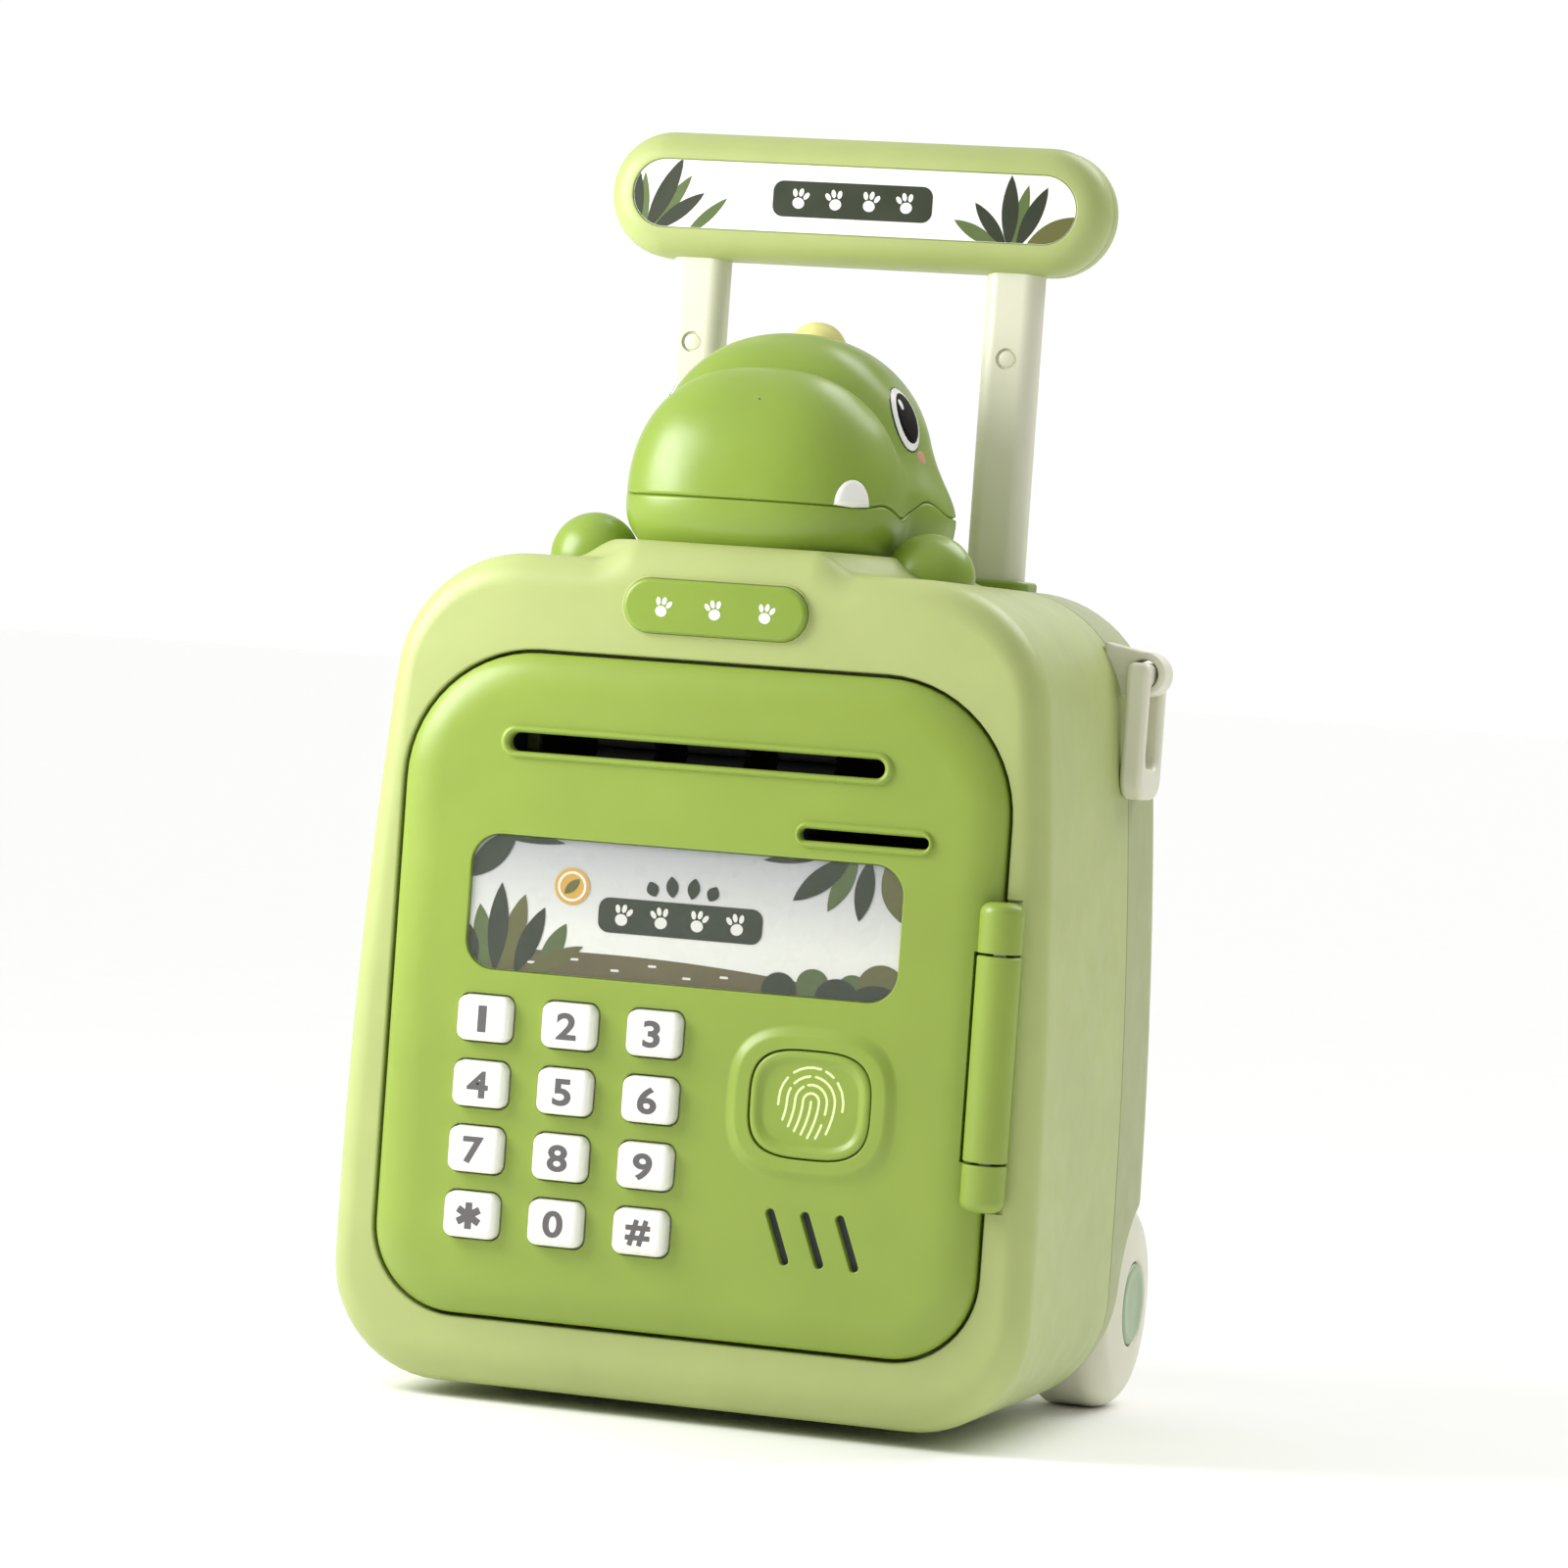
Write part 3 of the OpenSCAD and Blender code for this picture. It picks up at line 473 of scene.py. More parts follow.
def clear_plastic():
    mat = moulded("clear_window", (120, 126, 122), roughness=0.06, vary=0.01, grain=0.02, peel=0.1)
    mat.node_tree.nodes["Principled BSDF"].inputs["Alpha"].default_value = 0.1
    return mat


FINISHES = {
    "pale_green": moulded("pale_green_abs", (174, 186, 116), roughness=0.42),
    "grey_green": moulded("grey_green_abs", (164, 172, 117), roughness=0.42),
    "door_green": moulded("door_green_abs", (143, 165, 66), roughness=0.36),
    "leaf_green": moulded("leaf_green_abs", (136, 161, 60), roughness=0.33),
    "cream": moulded("cream_abs", (223, 222, 200), roughness=0.4, vary=0.02),
    "yellow": moulded("yellow_abs", (232, 226, 140), roughness=0.4),
    "white": moulded("white_abs", (246, 246, 240), roughness=0.3, vary=0.015),
    "key_white": moulded("key_abs", (244, 244, 236), roughness=0.34, vary=0.015, grain=0.14),
    "rubber_grey": moulded("grey_rubber", (150, 152, 152), roughness=0.75, grain=0.35),
    "rubber_dark": moulded("dark_rubber", (48, 50, 52), roughness=0.8, grain=0.4),
    "steel": moulded("zinc_steel", (196, 198, 200), roughness=0.32, metallic=1.0, vary=0.1, grain=0.25),
    "dark_plastic": moulded("dark_abs", (62, 66, 70), roughness=0.5, grain=0.25),
    "grey_plastic": moulded("grey_abs", (150, 154, 156), roughness=0.48, grain=0.2),
    "board": moulded("solder_mask", (30, 92, 52), roughness=0.35, vary=0.25, coat=0.3, blotch=220),
    "clear": clear_plastic(),
    "card": moulded("printed_card", (248, 249, 240), roughness=0.3, vary=0.015, grain=0.06, coat=0.3),
    "cell": moulded("cell_wrap", (58, 64, 70), roughness=0.3, coat=0.4, vary=0.08, grain=0.05),
}

INKS = {name: moulded(name, colour, **{"roughness": 0.35, "coat": 0.3, **more}) for name, colour, more in (
    ("ink_dark", (44, 52, 30), dict(vary=0.08)),
    ("ink_leaf", (92, 110, 58), dict(vary=0.1)),
    ("ink_olive", (104, 104, 52), dict(vary=0.1)),
    ("ink_earth", (108, 98, 62), dict(vary=0.12)),
    ("ink_cream", (250, 250, 240), dict(vary=0.02)),
    ("ink_gold", (226, 178, 70), dict(vary=0.08)),
    ("ink_grey", (100, 96, 98), dict(roughness=0.4, vary=0.04, grain=0.3, coat=0.0)),
    ("ink_black", (14, 10, 10), dict(roughness=0.5, vary=0.05, specular=0.1, coat=0.0)),
    ("ink_pink", (206, 150, 120), dict(roughness=0.4, vary=0.12, coat=0.0)),
    ("hub_sage", (160, 182, 144), dict(roughness=0.4, coat=0.0)),
    ("ink_lime", (232, 246, 176), dict(roughness=0.4, vary=0.04, coat=0.0)),
)}


# ---- Cabinet ----

def front_inset(loop):
    """How far the front rounding reaches in from each point of the cabinet's outline, short of the door."""
    up = loop_normals(loop)[:, 1]
    inset = 6.5 + 1.5 * np.clip(up, 0, 1) ** 2 + 3.5 * np.clip(-up, 0, 1) ** 2
    room = np.linalg.norm(loop[:, None] - door_outline(GAP + 0.6)[None], axis=2).min(axis=1)
    return np.minimum(inset, room - 0.7)


def foot_at(y, inset=0.0, heel=HEEL):
    """Underside of the cabinet at depth y, before the outline is drawn in by inset."""
    if y <= HEEL_Y:
        return BOTTOM_Z + (HEEL - heel) - inset
    return HEEL_Z - math.sqrt(max(heel ** 2 - (y - HEEL_Y) ** 2, 0)) - inset


def front_shell():
    solid = Solid()
    flat = cabinet_outline()
    inset = front_inset(flat)
    rings = [(grown(flat, -GROOVE), SPLIT_Y), (flat, SPLIT_Y - GROOVE)]
    rings += [(cabinet_outline(rise=rise), y) for rise, y in
              ((0.1, 11.5), (0.5, 7.5), (0.9, 3.5), (1.0, 1.0), (1.0, -20.0))]
    rings += [(cabinet_outline(rise=1.0, narrower=narrower), y) for y, narrower in
              ((-36.0, 0.0), (-42.0, 0.8), (-47.0, 2.7), (-51.0, 5.2), (-55.0, 9.0))]
    for away, deep in quarter(10)[::-1]:
        outline = cabinet_outline(rise=1 - away, narrower=13.0)
        rings.append((grown(outline, -inset * away), FRONT_Y + FRONT_DEPTH * deep))
    first, rim = solid.sweep(rings)
    rings = mouth_rings(lambda grow: door_outline(GAP + grow), FRONT_Y, 0.6)
    rings += rings_of(door_outline, (GAP, LIP_Y), (-WALL, LIP_Y), (-WALL, LIP_BACK))
    mouth, inside = solid.sweep(rings)
    inner, last = solid.sweep([(grown(flat, -WALL), LIP_BACK), (grown(flat, -WALL), SPLIT_Y)])
    solid.fill(rim, [mouth])
    solid.fill(inner, [inside])
    solid.strip(last, first)
    shell = plain_object("front_shell_skin", solid)
    relief = revolved([(0, 55.9), (BARREL_R + 0.5, 55.9), (BARREL_R + 0.5, 127.4), (0, 127.4)],
                      (HINGE_X, HINGE_Y))
    carve(shell, relief)
    dress(shell, "pale_green", "cabinet", "front_shell")


def rear_form(wall=0.0, start=SPLIT_Y):
    """Closed form of the cabinet's rear half, drawn in by wall."""
    edge, heel = REAR_EDGE - wall, HEEL - wall
    rings = []
    for y in (start, start + GROOVE, 20.0, 26.0, 32.0):
        notch = GROOVE if y == start and not wall else 0.0
        rings.append((grown(cabinet_outline(foot_at(y, wall, heel)), -wall - notch), y))
    for away, deep in quarter(18):
        y = REAR_Y - REAR_EDGE + edge * (1 - away)
        inset = wall + edge * deep
        rings.append((grown(cabinet_outline(foot_at(y, inset, heel)), -inset), y))
    return Solid().capped(rings)


def wheel_room(radius, x0, x1):
    """Cylinders round both wheels."""
    return revolved([(0, x0), (radius, x0), (radius, x1), (0, x1)], (WHEEL_Y, WHEEL_R), "x", 96).mirror()


def rear_shell():
    shell = plain_object("rear_shell_skin", rear_form())
    hollow = plain_object("hollow", rear_form(WALL, SPLIT_Y - 1))
    carve(hollow, wheel_room(WHEEL_R + 3.3, 58.0, 90.0))
    carve(shell, hollow)
    carve(shell, wheel_room(WHEEL_R + 1.3, 61.0, 90.0))
    cuts = slab(centred(POST_X, POST_Y, 19.2, 15.2, 4.1), 188, 216, axis="z").mirror()
    for x, z in SHELL_SCREWS:
        cuts.add(revolved([(0, 24), (2.9, 24), (2.9, 62), (0, 62)], (x, z), "y", 32).mirror())
    carve(shell, cuts)
    dress(shell, "grey_green", "cabinet", "rear_shell")


def axle_bosses():
    """Bosses on the heel that hold the wheel axles."""
    boss = [(0, 48.0), (8.2, 48.0), (9.0, 48.8), (9.0, 60.8), (0, 60.8)]
    build("axle_boss_pair", revolved(boss, (WHEEL_Y, WHEEL_R), "x", 48).mirror(), "grey_green", "cabinet")


def strike():
    """Block on the frame with the slot that takes the lock bolt."""
    solid = ring_slab(panel(-59.4, 88, -48.5, 104, 1.0), panel(-56.8, 91.7, -51.2, 100.3, 0.4),
                      -78.0, -71.5, 0.4, axis="x")
    build("bolt_strike", solid, "pale_green", "cabinet")


def hinge_barrel():
    """The cabinet's knuckle between the door's two caps, and its foot on the cabinet."""
    edge = 0.3
    r = BARREL_R
    knuckle = revolved([(0, KNUCKLE[0]), (r - edge, KNUCKLE[0]), (r, KNUCKLE[0] + edge),
                        (r, KNUCKLE[1] - edge), (r - edge, KNUCKLE[1]), (0, KNUCKLE[1])], (HINGE_X, HINGE_Y))
    knuckle.add(slab(panel(75.0, HINGE_Y, 78.6, -62.6, 0.5), KNUCKLE[0] + 2, KNUCKLE[1] - 2, axis="z"))
    build("hinge_barrel", knuckle, "door_green", "cabinet", "hinge_knuckle")


def nameplate():
    face = -68.3
    outline = panel(-22.2, 182, 22.2, 194.6, 6.28, 12)
    build("nameplate_badge", slab(outline, face, -65.8, 1.1), "leaf_green", "cabinet", "nameplate")
    seat = ring_slab(panel(-22.8, 181.4, 22.8, 195.2, 6.88, 12), panel(-22.25, 181.95, 22.25, 194.65, 6.3, 12),
                     -66.75, -66.0, 0.2, steps=2)
    build("nameplate_seat", seat, "pale_green", "cabinet")
    marks = [footprint(x, 188.0, 4.6, tilt) for x, tilt in ((-12.5, -16), (0.0, 14), (12.5, -12))]
    printed("nameplate_marks", sum(marks, []), face - 0.06, "ink_cream", "white", "cabinet", 0.25)


# ---- Flat prints ----

def clip(polygon, bounds):
    """The part of a convex polygon that is inside a convex, counter-clockwise outline."""
    kept = [np.array(p) for p in polygon]
    for a, b in zip(bounds, np.roll(bounds, -1, 0)):
        edge = b - a
        inside = [edge[0] * (p[1] - a[1]) - edge[1] * (p[0] - a[0]) for p in kept]
        cut = []
        for p, here, q, there in zip(kept, inside, kept[1:] + kept[:1], inside[1:] + inside[:1]):
            if here >= 0:
                cut.append(p)
            if here * there < 0:
                cut.append(p + (q - p) * here / (here - there))
        kept = cut
        if len(kept) < 3:
            return None
    return np.array(kept)


def printed(name, polygons, y, ink, slot, body, thick=0.02, bounds=None):
    """Thin printed shapes whose face is at depth y. Each stands a hair behind the one before it."""
    solid = Solid()
    for i, polygon in enumerate(polygons):
        if bounds is not None:
            polygon = clip(polygon, bounds)
            if polygon is None:
                continue
        front = solid.sweep([(polygon, y + 0.0015 * i), (polygon, y + thick)])[0]
        solid.fill(front)
    return build(name, solid, slot, body, material=INKS[ink], weighted=False)


def leaf(u0, v0, u1, v1, width, steps=10):
    """A pointed leaf from its base to its tip."""
    base, tip = np.array([u0, v0]), np.array([u1, v1])
    along = tip - base
    side = np.array([along[1], -along[0]]) / np.linalg.norm(along) * width / 2
    share = np.linspace(0, 1, steps + 1)[:, None]
    bulge = np.sin(share * math.pi) ** 0.8
    right = base + along * share + side * bulge
    left = base + along * share - side * bulge
    return np.concatenate([right, left[1:-1][::-1]])


def leaves(*rows):
    return [leaf(*row) for row in rows]


def oval(u, v, ru, rv, tilt=0.0, steps=24):
    return arc(0, 0, 1, 0, 360, steps)[:-1] * [ru, rv] @ spin(tilt) + [u, v]


def footprint(u, v, size, tilt=0.0):
    """A three-toed footprint, size high."""
    shapes = [oval(0, -0.2, 0.3, 0.27)]
    for side in (-1, 0, 1):
        shapes.append(oval(side * 0.3, 0.24 + 0.1 * (side == 0), 0.115, 0.2, -side * 24))
    return [shape @ spin(tilt) * size + [u, v] for shape in shapes]


def footprints(u, v, pitch):
    """Four footprints in a row from (u, v), turned one way and the other."""
    return sum([footprint(u + pitch * i, v, 5.0, (-14, 12)[i % 2]) for i in range(4)], [])


def ribbon(points, width):
    """The two edges of a ribbon along a line of points."""
    side = normals(np.gradient(points, axis=0)) * width / 2
    return points - side, points + side


# ---- Door ----

def key_places():
    names = ["1", "2", "3", "4", "5", "6", "7", "8", "9", "star", "0", "hash"]
    for i, name in enumerate(names):
        yield name, KEY_START[0] + KEY_PITCH[0] * (i % 3), KEY_START[1] - KEY_PITCH[1] * (i // 3)


def speaker_slots():
    for i in range(3):
        x = 26.4 + 8.35 * i
        yield turned(centred(x, 46.2, 2.1, 13.4, 1.0, 5), np.array([x, 46.2]), 21)


def hole(solid, outline, edge=0.35):
    """A hole through the door's skin, with a rounded mouth. Returns its loops on the face and inside."""
    return solid.sweep(mouth_rings(outline, FACE_Y, edge) + rings_of(outline, (0.0, SKIN_Y)))


def rimmed_slot(solid, z, *sizes):
    """A slot at height z with a half-round raised rim. The rim's and the mouth's size are each a left end, a
    right end and half a height."""
    rim, mouth = [rounded(left, z - half, right, z + half, half - 0.02, 10) for left, right, half in sizes]
    rings = [(rim * (1 - share) + mouth * share, FACE_Y - 1.0 * math.sin(math.pi * share) ** 0.75)
             for share in np.linspace(0, 1, 11)]
    return solid.sweep(rings + [(mouth, SKIN_Y)])


def button_boss(solid):
    """The raised ground round the fingerprint button, and the button's hole."""
    boss = squircle(*BUTTON, 41.0, 36.3, 3.0)
    well = squircle(*BUTTON, 29.3, 25.3, 3.2)
    height, slope = 1.4, 3.0
    rings = rings_of(boss, *[(-slope * share, FACE_Y - height * share * share * (3 - 2 * share))
                             for share in np.linspace(0, 1, 10)])
    rings += mouth_rings(well, FACE_Y - height, 0.3) + rings_of(well, (0.0, SKIN_Y))
    return solid.sweep(rings)


def door_panel():
    solid = Solid()
    pairs = [hole(solid, centred(x, z, KEY_SIZE[0] + 0.5, KEY_SIZE[1] + 0.5, 2.6)) for _, x, z in key_places()]
    pairs += [hole(solid, outline, 0.3) for outline in speaker_slots()]
    pairs.append(button_boss(solid))
    pairs.append(rimmed_slot(solid, NOTE_Z, (-48.8, 46.4, 3.8), (-46.6, 44.2, 2.2)))
    pairs.append(rimmed_slot(solid, COIN_Z, (24.0, 56.9, 3.1), (25.1, 55.8, 1.35)))
    recess = panel(*WINDOW, WINDOW_R, 10)
    mouth, bed = solid.sweep(rings_of(recess, (0.5, FACE_Y), (0.15, FACE_Y + 0.12), (0.0, FACE_Y + 0.45),
                                      (0.0, CARD_BACK)))
    solid.fill(bed)

    rings = [(door_outline(-CROWN_IN - 0.4), FACE_Y)]
    rings += [(door_outline(-CROWN_IN * away), FACE_Y + CROWN_DEEP * deep) for away, deep in quarter(12)]
    rings += rings_of(door_outline, (0, RIM_BACK - 0.4), (-0.4, RIM_BACK), (-2.2, RIM_BACK), (-2.2, -64.6),
                      (-CROWN_IN, -66.0), (-CROWN_IN - 0.2, SKIN_Y))
    face, inside = solid.sweep(rings)
    solid.fill(face, [mouth] + [pair[0] for pair in pairs])
    solid.fill(inside, [pair[1] for pair in pairs])
    door = plain_object("door_panel_skin", solid)
    carve(door, slab(panel(68.0, -90.0, 90.0, -63.9, 0.6, 3), KNUCKLE[0] - 0.6, KNUCKLE[1] + 0.6, axis="z"))
    dress(door, "door_green", "door", "door_panel")

    soft, hard, r = 2.6, 0.3, BARREL_R

    def cap(low, high, low_edge, high_edge):
        profile = [(r - low_edge * away, low + low_edge * deep) for away, deep in quarter(6)]
        profile += [(r - high_edge * away, high - high_edge * deep) for away, deep in quarter(6)[::-1]]
        return revolved([(0, low), *profile, (0, high)], (HINGE_X, HINGE_Y))

    caps = cap(*CAP_LOW, soft, hard).add(cap(*CAP_HIGH, hard, soft))
    build("hinge_caps", caps, "door_green", "door")


def key_mark(name):
    """Outlines of the sign on a key, about its centre, each convex. Digits other than 1 are set as type."""
    bar = lambda u, v, w, h, tilt=0.0: turned(centred(u, v, w, h, 0.15, 2), np.array([u, v]), tilt)(0.0)
    if name == "1":
        return [bar(0, 0, 2.1, 6.2)]
    if name == "star":
        return [bar(0, 0, 1.7, 6.2, tilt) for tilt in (0, 60, 120)]
    if name == "hash":
        return [bar(-1.15, 0, 1.2, 6.2, -14), bar(1.15, 0, 1.2, 6.2, -14),
                bar(0, 1.15, 6.0, 1.2), bar(0, -1.15, 6.0, 1.2)]
    return None


def digit(name, x, z, y, body):
    """A bold digit, standing a hair proud of its key."""
    text = bpy.data.curves.new("digit", "FONT")
    text.body, text.offset, text.resolution_u = name, 0.03, 6
    obj = in_scene("digit", text)
    mesh = evaluated(obj)
    bpy.data.objects.remove(obj)
    flat = np.array([v.co for v in mesh.vertices])[:, :2]
    low, high = flat.min(0), flat.max(0)
    scale = np.array([1.2, 1.0]) * 6.3 / (high[1] - low[1])
    solid = Solid()
    solid.loop((flat - (low + high) / 2) * scale + [x, z], y)
    solid.faces = [list(p.vertices) for p in mesh.polygons]
    build(f"mark_{name}", solid, "key_white", body, material=INKS["ink_grey"], weighted=False)


def keys():
    front, flange, back = FACE_Y - 3.0, SKIN_Y + 0.2, BUTTON_BACK
    for name, x, z in key_places():
        cap = centred(x, z, *KEY_SIZE, 2.5, 8)
        rings = [(cap(-1.9), front)]
        rings += [(cap(-0.25 - 1.55 * away), front + 0.05 + 1.45 * deep) for away, deep in quarter(7)]
        rings += rings_of(cap, (0.0, flange), (0.8, flange), (0.8, back))
        body = f"key_{name}_body"
        build(f"key_cap_{name}", Solid().capped(rings), "key_white", body, f"key_{name}")
        marks = key_mark(name)
        if marks is None:
            digit(name, x, z, front - 0.03, body)
        else:
            printed(f"mark_{name}", [mark + [x, z] for mark in marks], front - 0.03, "ink_grey",
                    "key_white", body)


def fingerprint_ridges():
    """Lines of the fingerprint sign: nested arches whose legs lean to the left. A row is an arch's radius, its
    start and end angles, and the depths of its left and right legs."""
    cx, cz = BUTTON[0] + 0.1, BUTTON[1] + 0.8
    rows = ((1.9, 170, 10, 7.0, 8.3), (3.8, 172, 122, 6.0, 0), (3.8, 104, 8, 0, 2.6), (5.7, 174, 152, 4.6, 0),
            (5.7, 138, 96, 0, 0), (5.7, 82, 6, 0, 7.0), (7.7, 178, 140, 1.2, 0), (7.7, 126, 76, 0, 0),
            (7.7, 66, 50, 0, 0), (7.7, 38, 4, 0, 1.6))

    def leg(r, depth):
        s = np.linspace(0, depth, 9 if depth > 2 else 4)
        return np.column_stack([cx + r - 0.055 * s ** 1.75, cz - s])

    lines = [leg(0.0, 7.6), leg(3.8, 8.2)[5:]]
    for r, start, end, left, right in rows:
        turn = np.radians(np.linspace(start, end, max(int(abs(end - start) / 9), 3)))
        runs = [leg(-r, left)[::-1]] if left else []
        runs.append(np.column_stack([cx + r * np.cos(turn), cz + r * 1.02 * np.sin(turn)]))
        runs += [leg(r, right)] if right else []
        lines.append(np.concatenate(runs))
    return lines


def finger_button():
    rim = squircle(*BUTTON, 28.7, 24.7, 3.2)
    dish = ((-3.3, 0.0), (-3.0, 0.02), (-2.6, 0.15), (-1.9, 0.7), (-1.5, 0.92), (-1.1, 1.0), (-0.6, 0.95),
            (-0.2, 0.7), (0.0, 0.3))
    rings = [(rim(grow), BUTTON_FACE - rise) for grow, rise in dish]
    rings += rings_of(rim, (0.0, -68.0), (2.0, -68.0), (2.0, BUTTON_BACK))
    build("fingerprint_pad", Solid().capped(rings), "door_green", "fingerprint_button", "finger_button",
          sharp=60)
    lines = Solid()
    for points in fingerprint_ridges():
        a, b = ribbon(points, 0.6)
        left, right = lines.loop(a, BUTTON_FACE - 0.04), lines.loop(b, BUTTON_FACE - 0.04)
        for i in range(len(left) - 1):
            lines.faces.append([left[i], left[i + 1], right[i + 1], right[i]])
        for end in (points[0], points[-1]):
            lines.faces.append(lines.loop(circle(*end, 0.3, 12)(), BUTTON_FACE - 0.042))
    build("fingerprint_sign", lines, "door_green", "fingerprint_button", material=INKS["ink_lime"],
          weighted=False)


def window():
    """The printed card behind the window, with its art, and the clear lens."""
    left, low, right, high = WINDOW
    outline = panel(left + 0.2, low + 0.2, right - 0.2, high - 0.2, WINDOW_R - 0.2, 10)
    y = CARD_Y
    build("window_print", slab(outline, y, CARD_BACK), "card", "door", "window_card", material=sky_card())
    bounds = outline(-0.05)
    across = np.linspace(left, right, 40)
    hill = np.column_stack([across, 107.2 - 0.00115 * (across + 20) ** 2])
    road = np.concatenate([[[left, 100.0], [right, 100.0]], hill[::-1]])
    coin = (-29.2, 122.2)
    dashes = ((-38, 103.9), (-27.5, 105.4), (-17.5, 103.6), (-8.5, 105.3), (0, 103.2), (9, 104.2),
              (19.5, 102.9), (30, 102.5))
    sprigs = ((-8.8, -1.6, 124.8), (-4.6, -0.6, 126.4), (0.0, 0.6, 126.4), (4.2, 1.6, 124.8))
    art = [("ink_earth", [road]),
           ("ink_cream", [centred(x, z, 2.0, 0.55, 0.2, 2)(0.0) for x, z in dashes]),
           ("ink_leaf", [oval(30.3, 104.4, 3.9, 3.6), oval(39.8, 104.0, 3.6, 3.4),
                         *leaves((39.0, 134, 32.6, 121.3, 4.4), (-36, 101, -30, 113.5, 4.6),
                                 (-49, 101, -51.5, 116.5, 4.8))]),
           ("ink_olive", [oval(46.6, 104.6, 5.8, 5.6),
                          *leaves((46.2, 134, 51.5, 119.5, 7.2), (-45, 101, -40.5, 119.5, 5.4),
                                  (-40, 101, -25.5, 108.5, 3.8))]),
           ("ink_dark", [oval(22.3, 102.4, 4.2, 4.2), oval(36.2, 101.6, 5.2, 4.6), oval(45.6, 101.0, 6.4, 4.4),
                         *leaves((37.5, 134, 24.2, 123.2, 5.2), (42.0, 134, 40.2, 119.6, 4.6),
                                 (31.5, 133.8, 16.5, 131.9, 2.2), (-42, 101, -35.5, 116.8, 4.8),
                                 (-47, 101, -46.4, 121.8, 5.0), (-52, 101, -55.5, 113, 5.0),
                                 (-55, 122.5, -43.5, 134, 6.2), (-52, 133.6, -31.5, 131.9, 2.6)),
                         rounded(-22.4, 112.3, 17.4, 120.4, 2.6),
                         *leaves(*[(x, 121.4, x + lean, top, 3.0) for x, lean, top in sprigs])]),
           ("ink_gold", [oval(*coin, 4.3, 4.3)]),
           ("ink_cream", footprints(-16.5, 116.4, 9.2))]
    for level, (ink, polygons) in enumerate(art):
        printed(f"window_art_{level}", polygons, y - 0.02 - 0.03 * level, ink, "card", "door", 0.015, bounds)
    ring = ring_slab(circle(*coin, 3.5), circle(*coin, 2.9), y - 0.24, y - 0.2, 0.0)
    build("window_art_coin", ring, "card", "door", material=INKS["ink_cream"])
    printed("window_art_leaf", leaves((-31.0, 120.4, -27.4, 124.0, 2.2)), y - 0.23, "ink_olive", "card", "door")
    build("window_pane", slab(outline, PANE_Y, PANE_BACK, 0.3), "clear", "door", "window_lens")


def sky_card():
    """The card's ground: grey at the top, fading to warm white."""
    mat = moulded("sky_card", (250, 251, 242), roughness=0.28, vary=0.01, grain=0.05, coat=0.3)
    nodes, links = mat.node_tree.nodes, mat.node_tree.links
    split = nodes.new("ShaderNodeSeparateXYZ")
    links.new(nodes.new("ShaderNodeTexCoord").outputs["Object"], split.inputs[0])
    height = ramped(nodes, links, split.outputs["Z"], 0.112, 0.134, 0.0, 1.0)
    sky = blended(nodes, links, height, linear((252, 253, 244)), linear((186, 188, 192)))
    links.new(sky, nodes["Principled BSDF"].inputs["Base Color"])
    return mat


# ---- Head ----

HEAD_CENTRE = np.array([0.0, -24.0, MOUTH_Z])
HEAD_FOOT = SHOULDER_Z - 1.0
CLEAR = 85.0  # a distance from the centre that is well outside the head


def blob(points, centre, radii, plan, rise):
    """Roughly the distance from a boxy ellipsoid's surface, negative inside. Its radii are sideways, back and
    forth, up and down, and plan and rise say how boxy it is from above and from the side."""
    offset = np.abs(points - centre)
    high = offset[..., 2] / np.where(points[..., 2] > centre[2], radii[2], radii[3])
    flat = (offset[..., 0] / radii[0]) ** plan + (offset[..., 1] / radii[1]) ** plan
    return ((flat ** (rise / plan) + high ** rise) ** (1 / rise) - 1) * min(radii)


def soft_min(a, b, k):
    share = np.clip(0.5 + 0.5 * (b - a) / k, 0, 1)
    return b * (1 - share) + a * share - k * share * (1 - share)


def head_field(points):
    """Negative inside the head: a boxy snout, and a crease where it meets the domed skull over wide cheeks."""
    snout = blob(points, (0.4, -32.0, 213.0), (33.2, 28.0, 34.0, 17.5), 2.6, 2.35)
    skull = blob(points, (0.0, -15.5, 222.0), (33.0, 30.0, 33.6, 30.0), 2.6, 2.15)
    cheek = blob(points, (0.0, -12.0, 213.0), (39.5, 25.0, 19.0, 26.0), 2.3, 2.0)
    rear = soft_min(skull, cheek, 6.0)
    fade = np.clip((points[..., 2] - 219.0) / 10.0, 0, 1)
    crease = 1.1 * np.exp(-((rear - snout) / 1.5) ** 2) * fade
    return soft_min(rear, snout, 0.8) + crease


def hit(origin, direction, reach=CLEAR):
    """Where rays that start outside the head meet it. Rays run from origin along direction."""
    steps = np.linspace(0, reach, 260)
    origin, direction = np.broadcast_arrays(origin, direction)
    seen = head_field(origin[:, None, :] + direction[:, None, :] * steps[None, :, None]) < 0
    first = np.argmax(seen, axis=1)
    high = steps[first]
    low = steps[np.maximum(first - 1, 0)]
    for _ in range(24):
        middle = (low + high) / 2
        inside = head_field(origin + direction * middle[:, None]) < 0
        high, low = np.where(inside, middle, high), np.where(inside, low, middle)
    return origin + direction * high[:, None]


def mouth_wave(turn):
    """Height of the mouth line above its level at azimuth turn, in degrees from straight ahead to the
    right: a small rise, a dip and a higher rise behind the tooth, on both sides."""
    a = np.abs(turn)
    return (0.9 * np.exp(-((a - 57) / 6) ** 2) - 1.6 * np.exp(-((a - 73) / 7) ** 2)
            + 3.3 * np.exp(-((a - 91.5) / 7.5) ** 2))


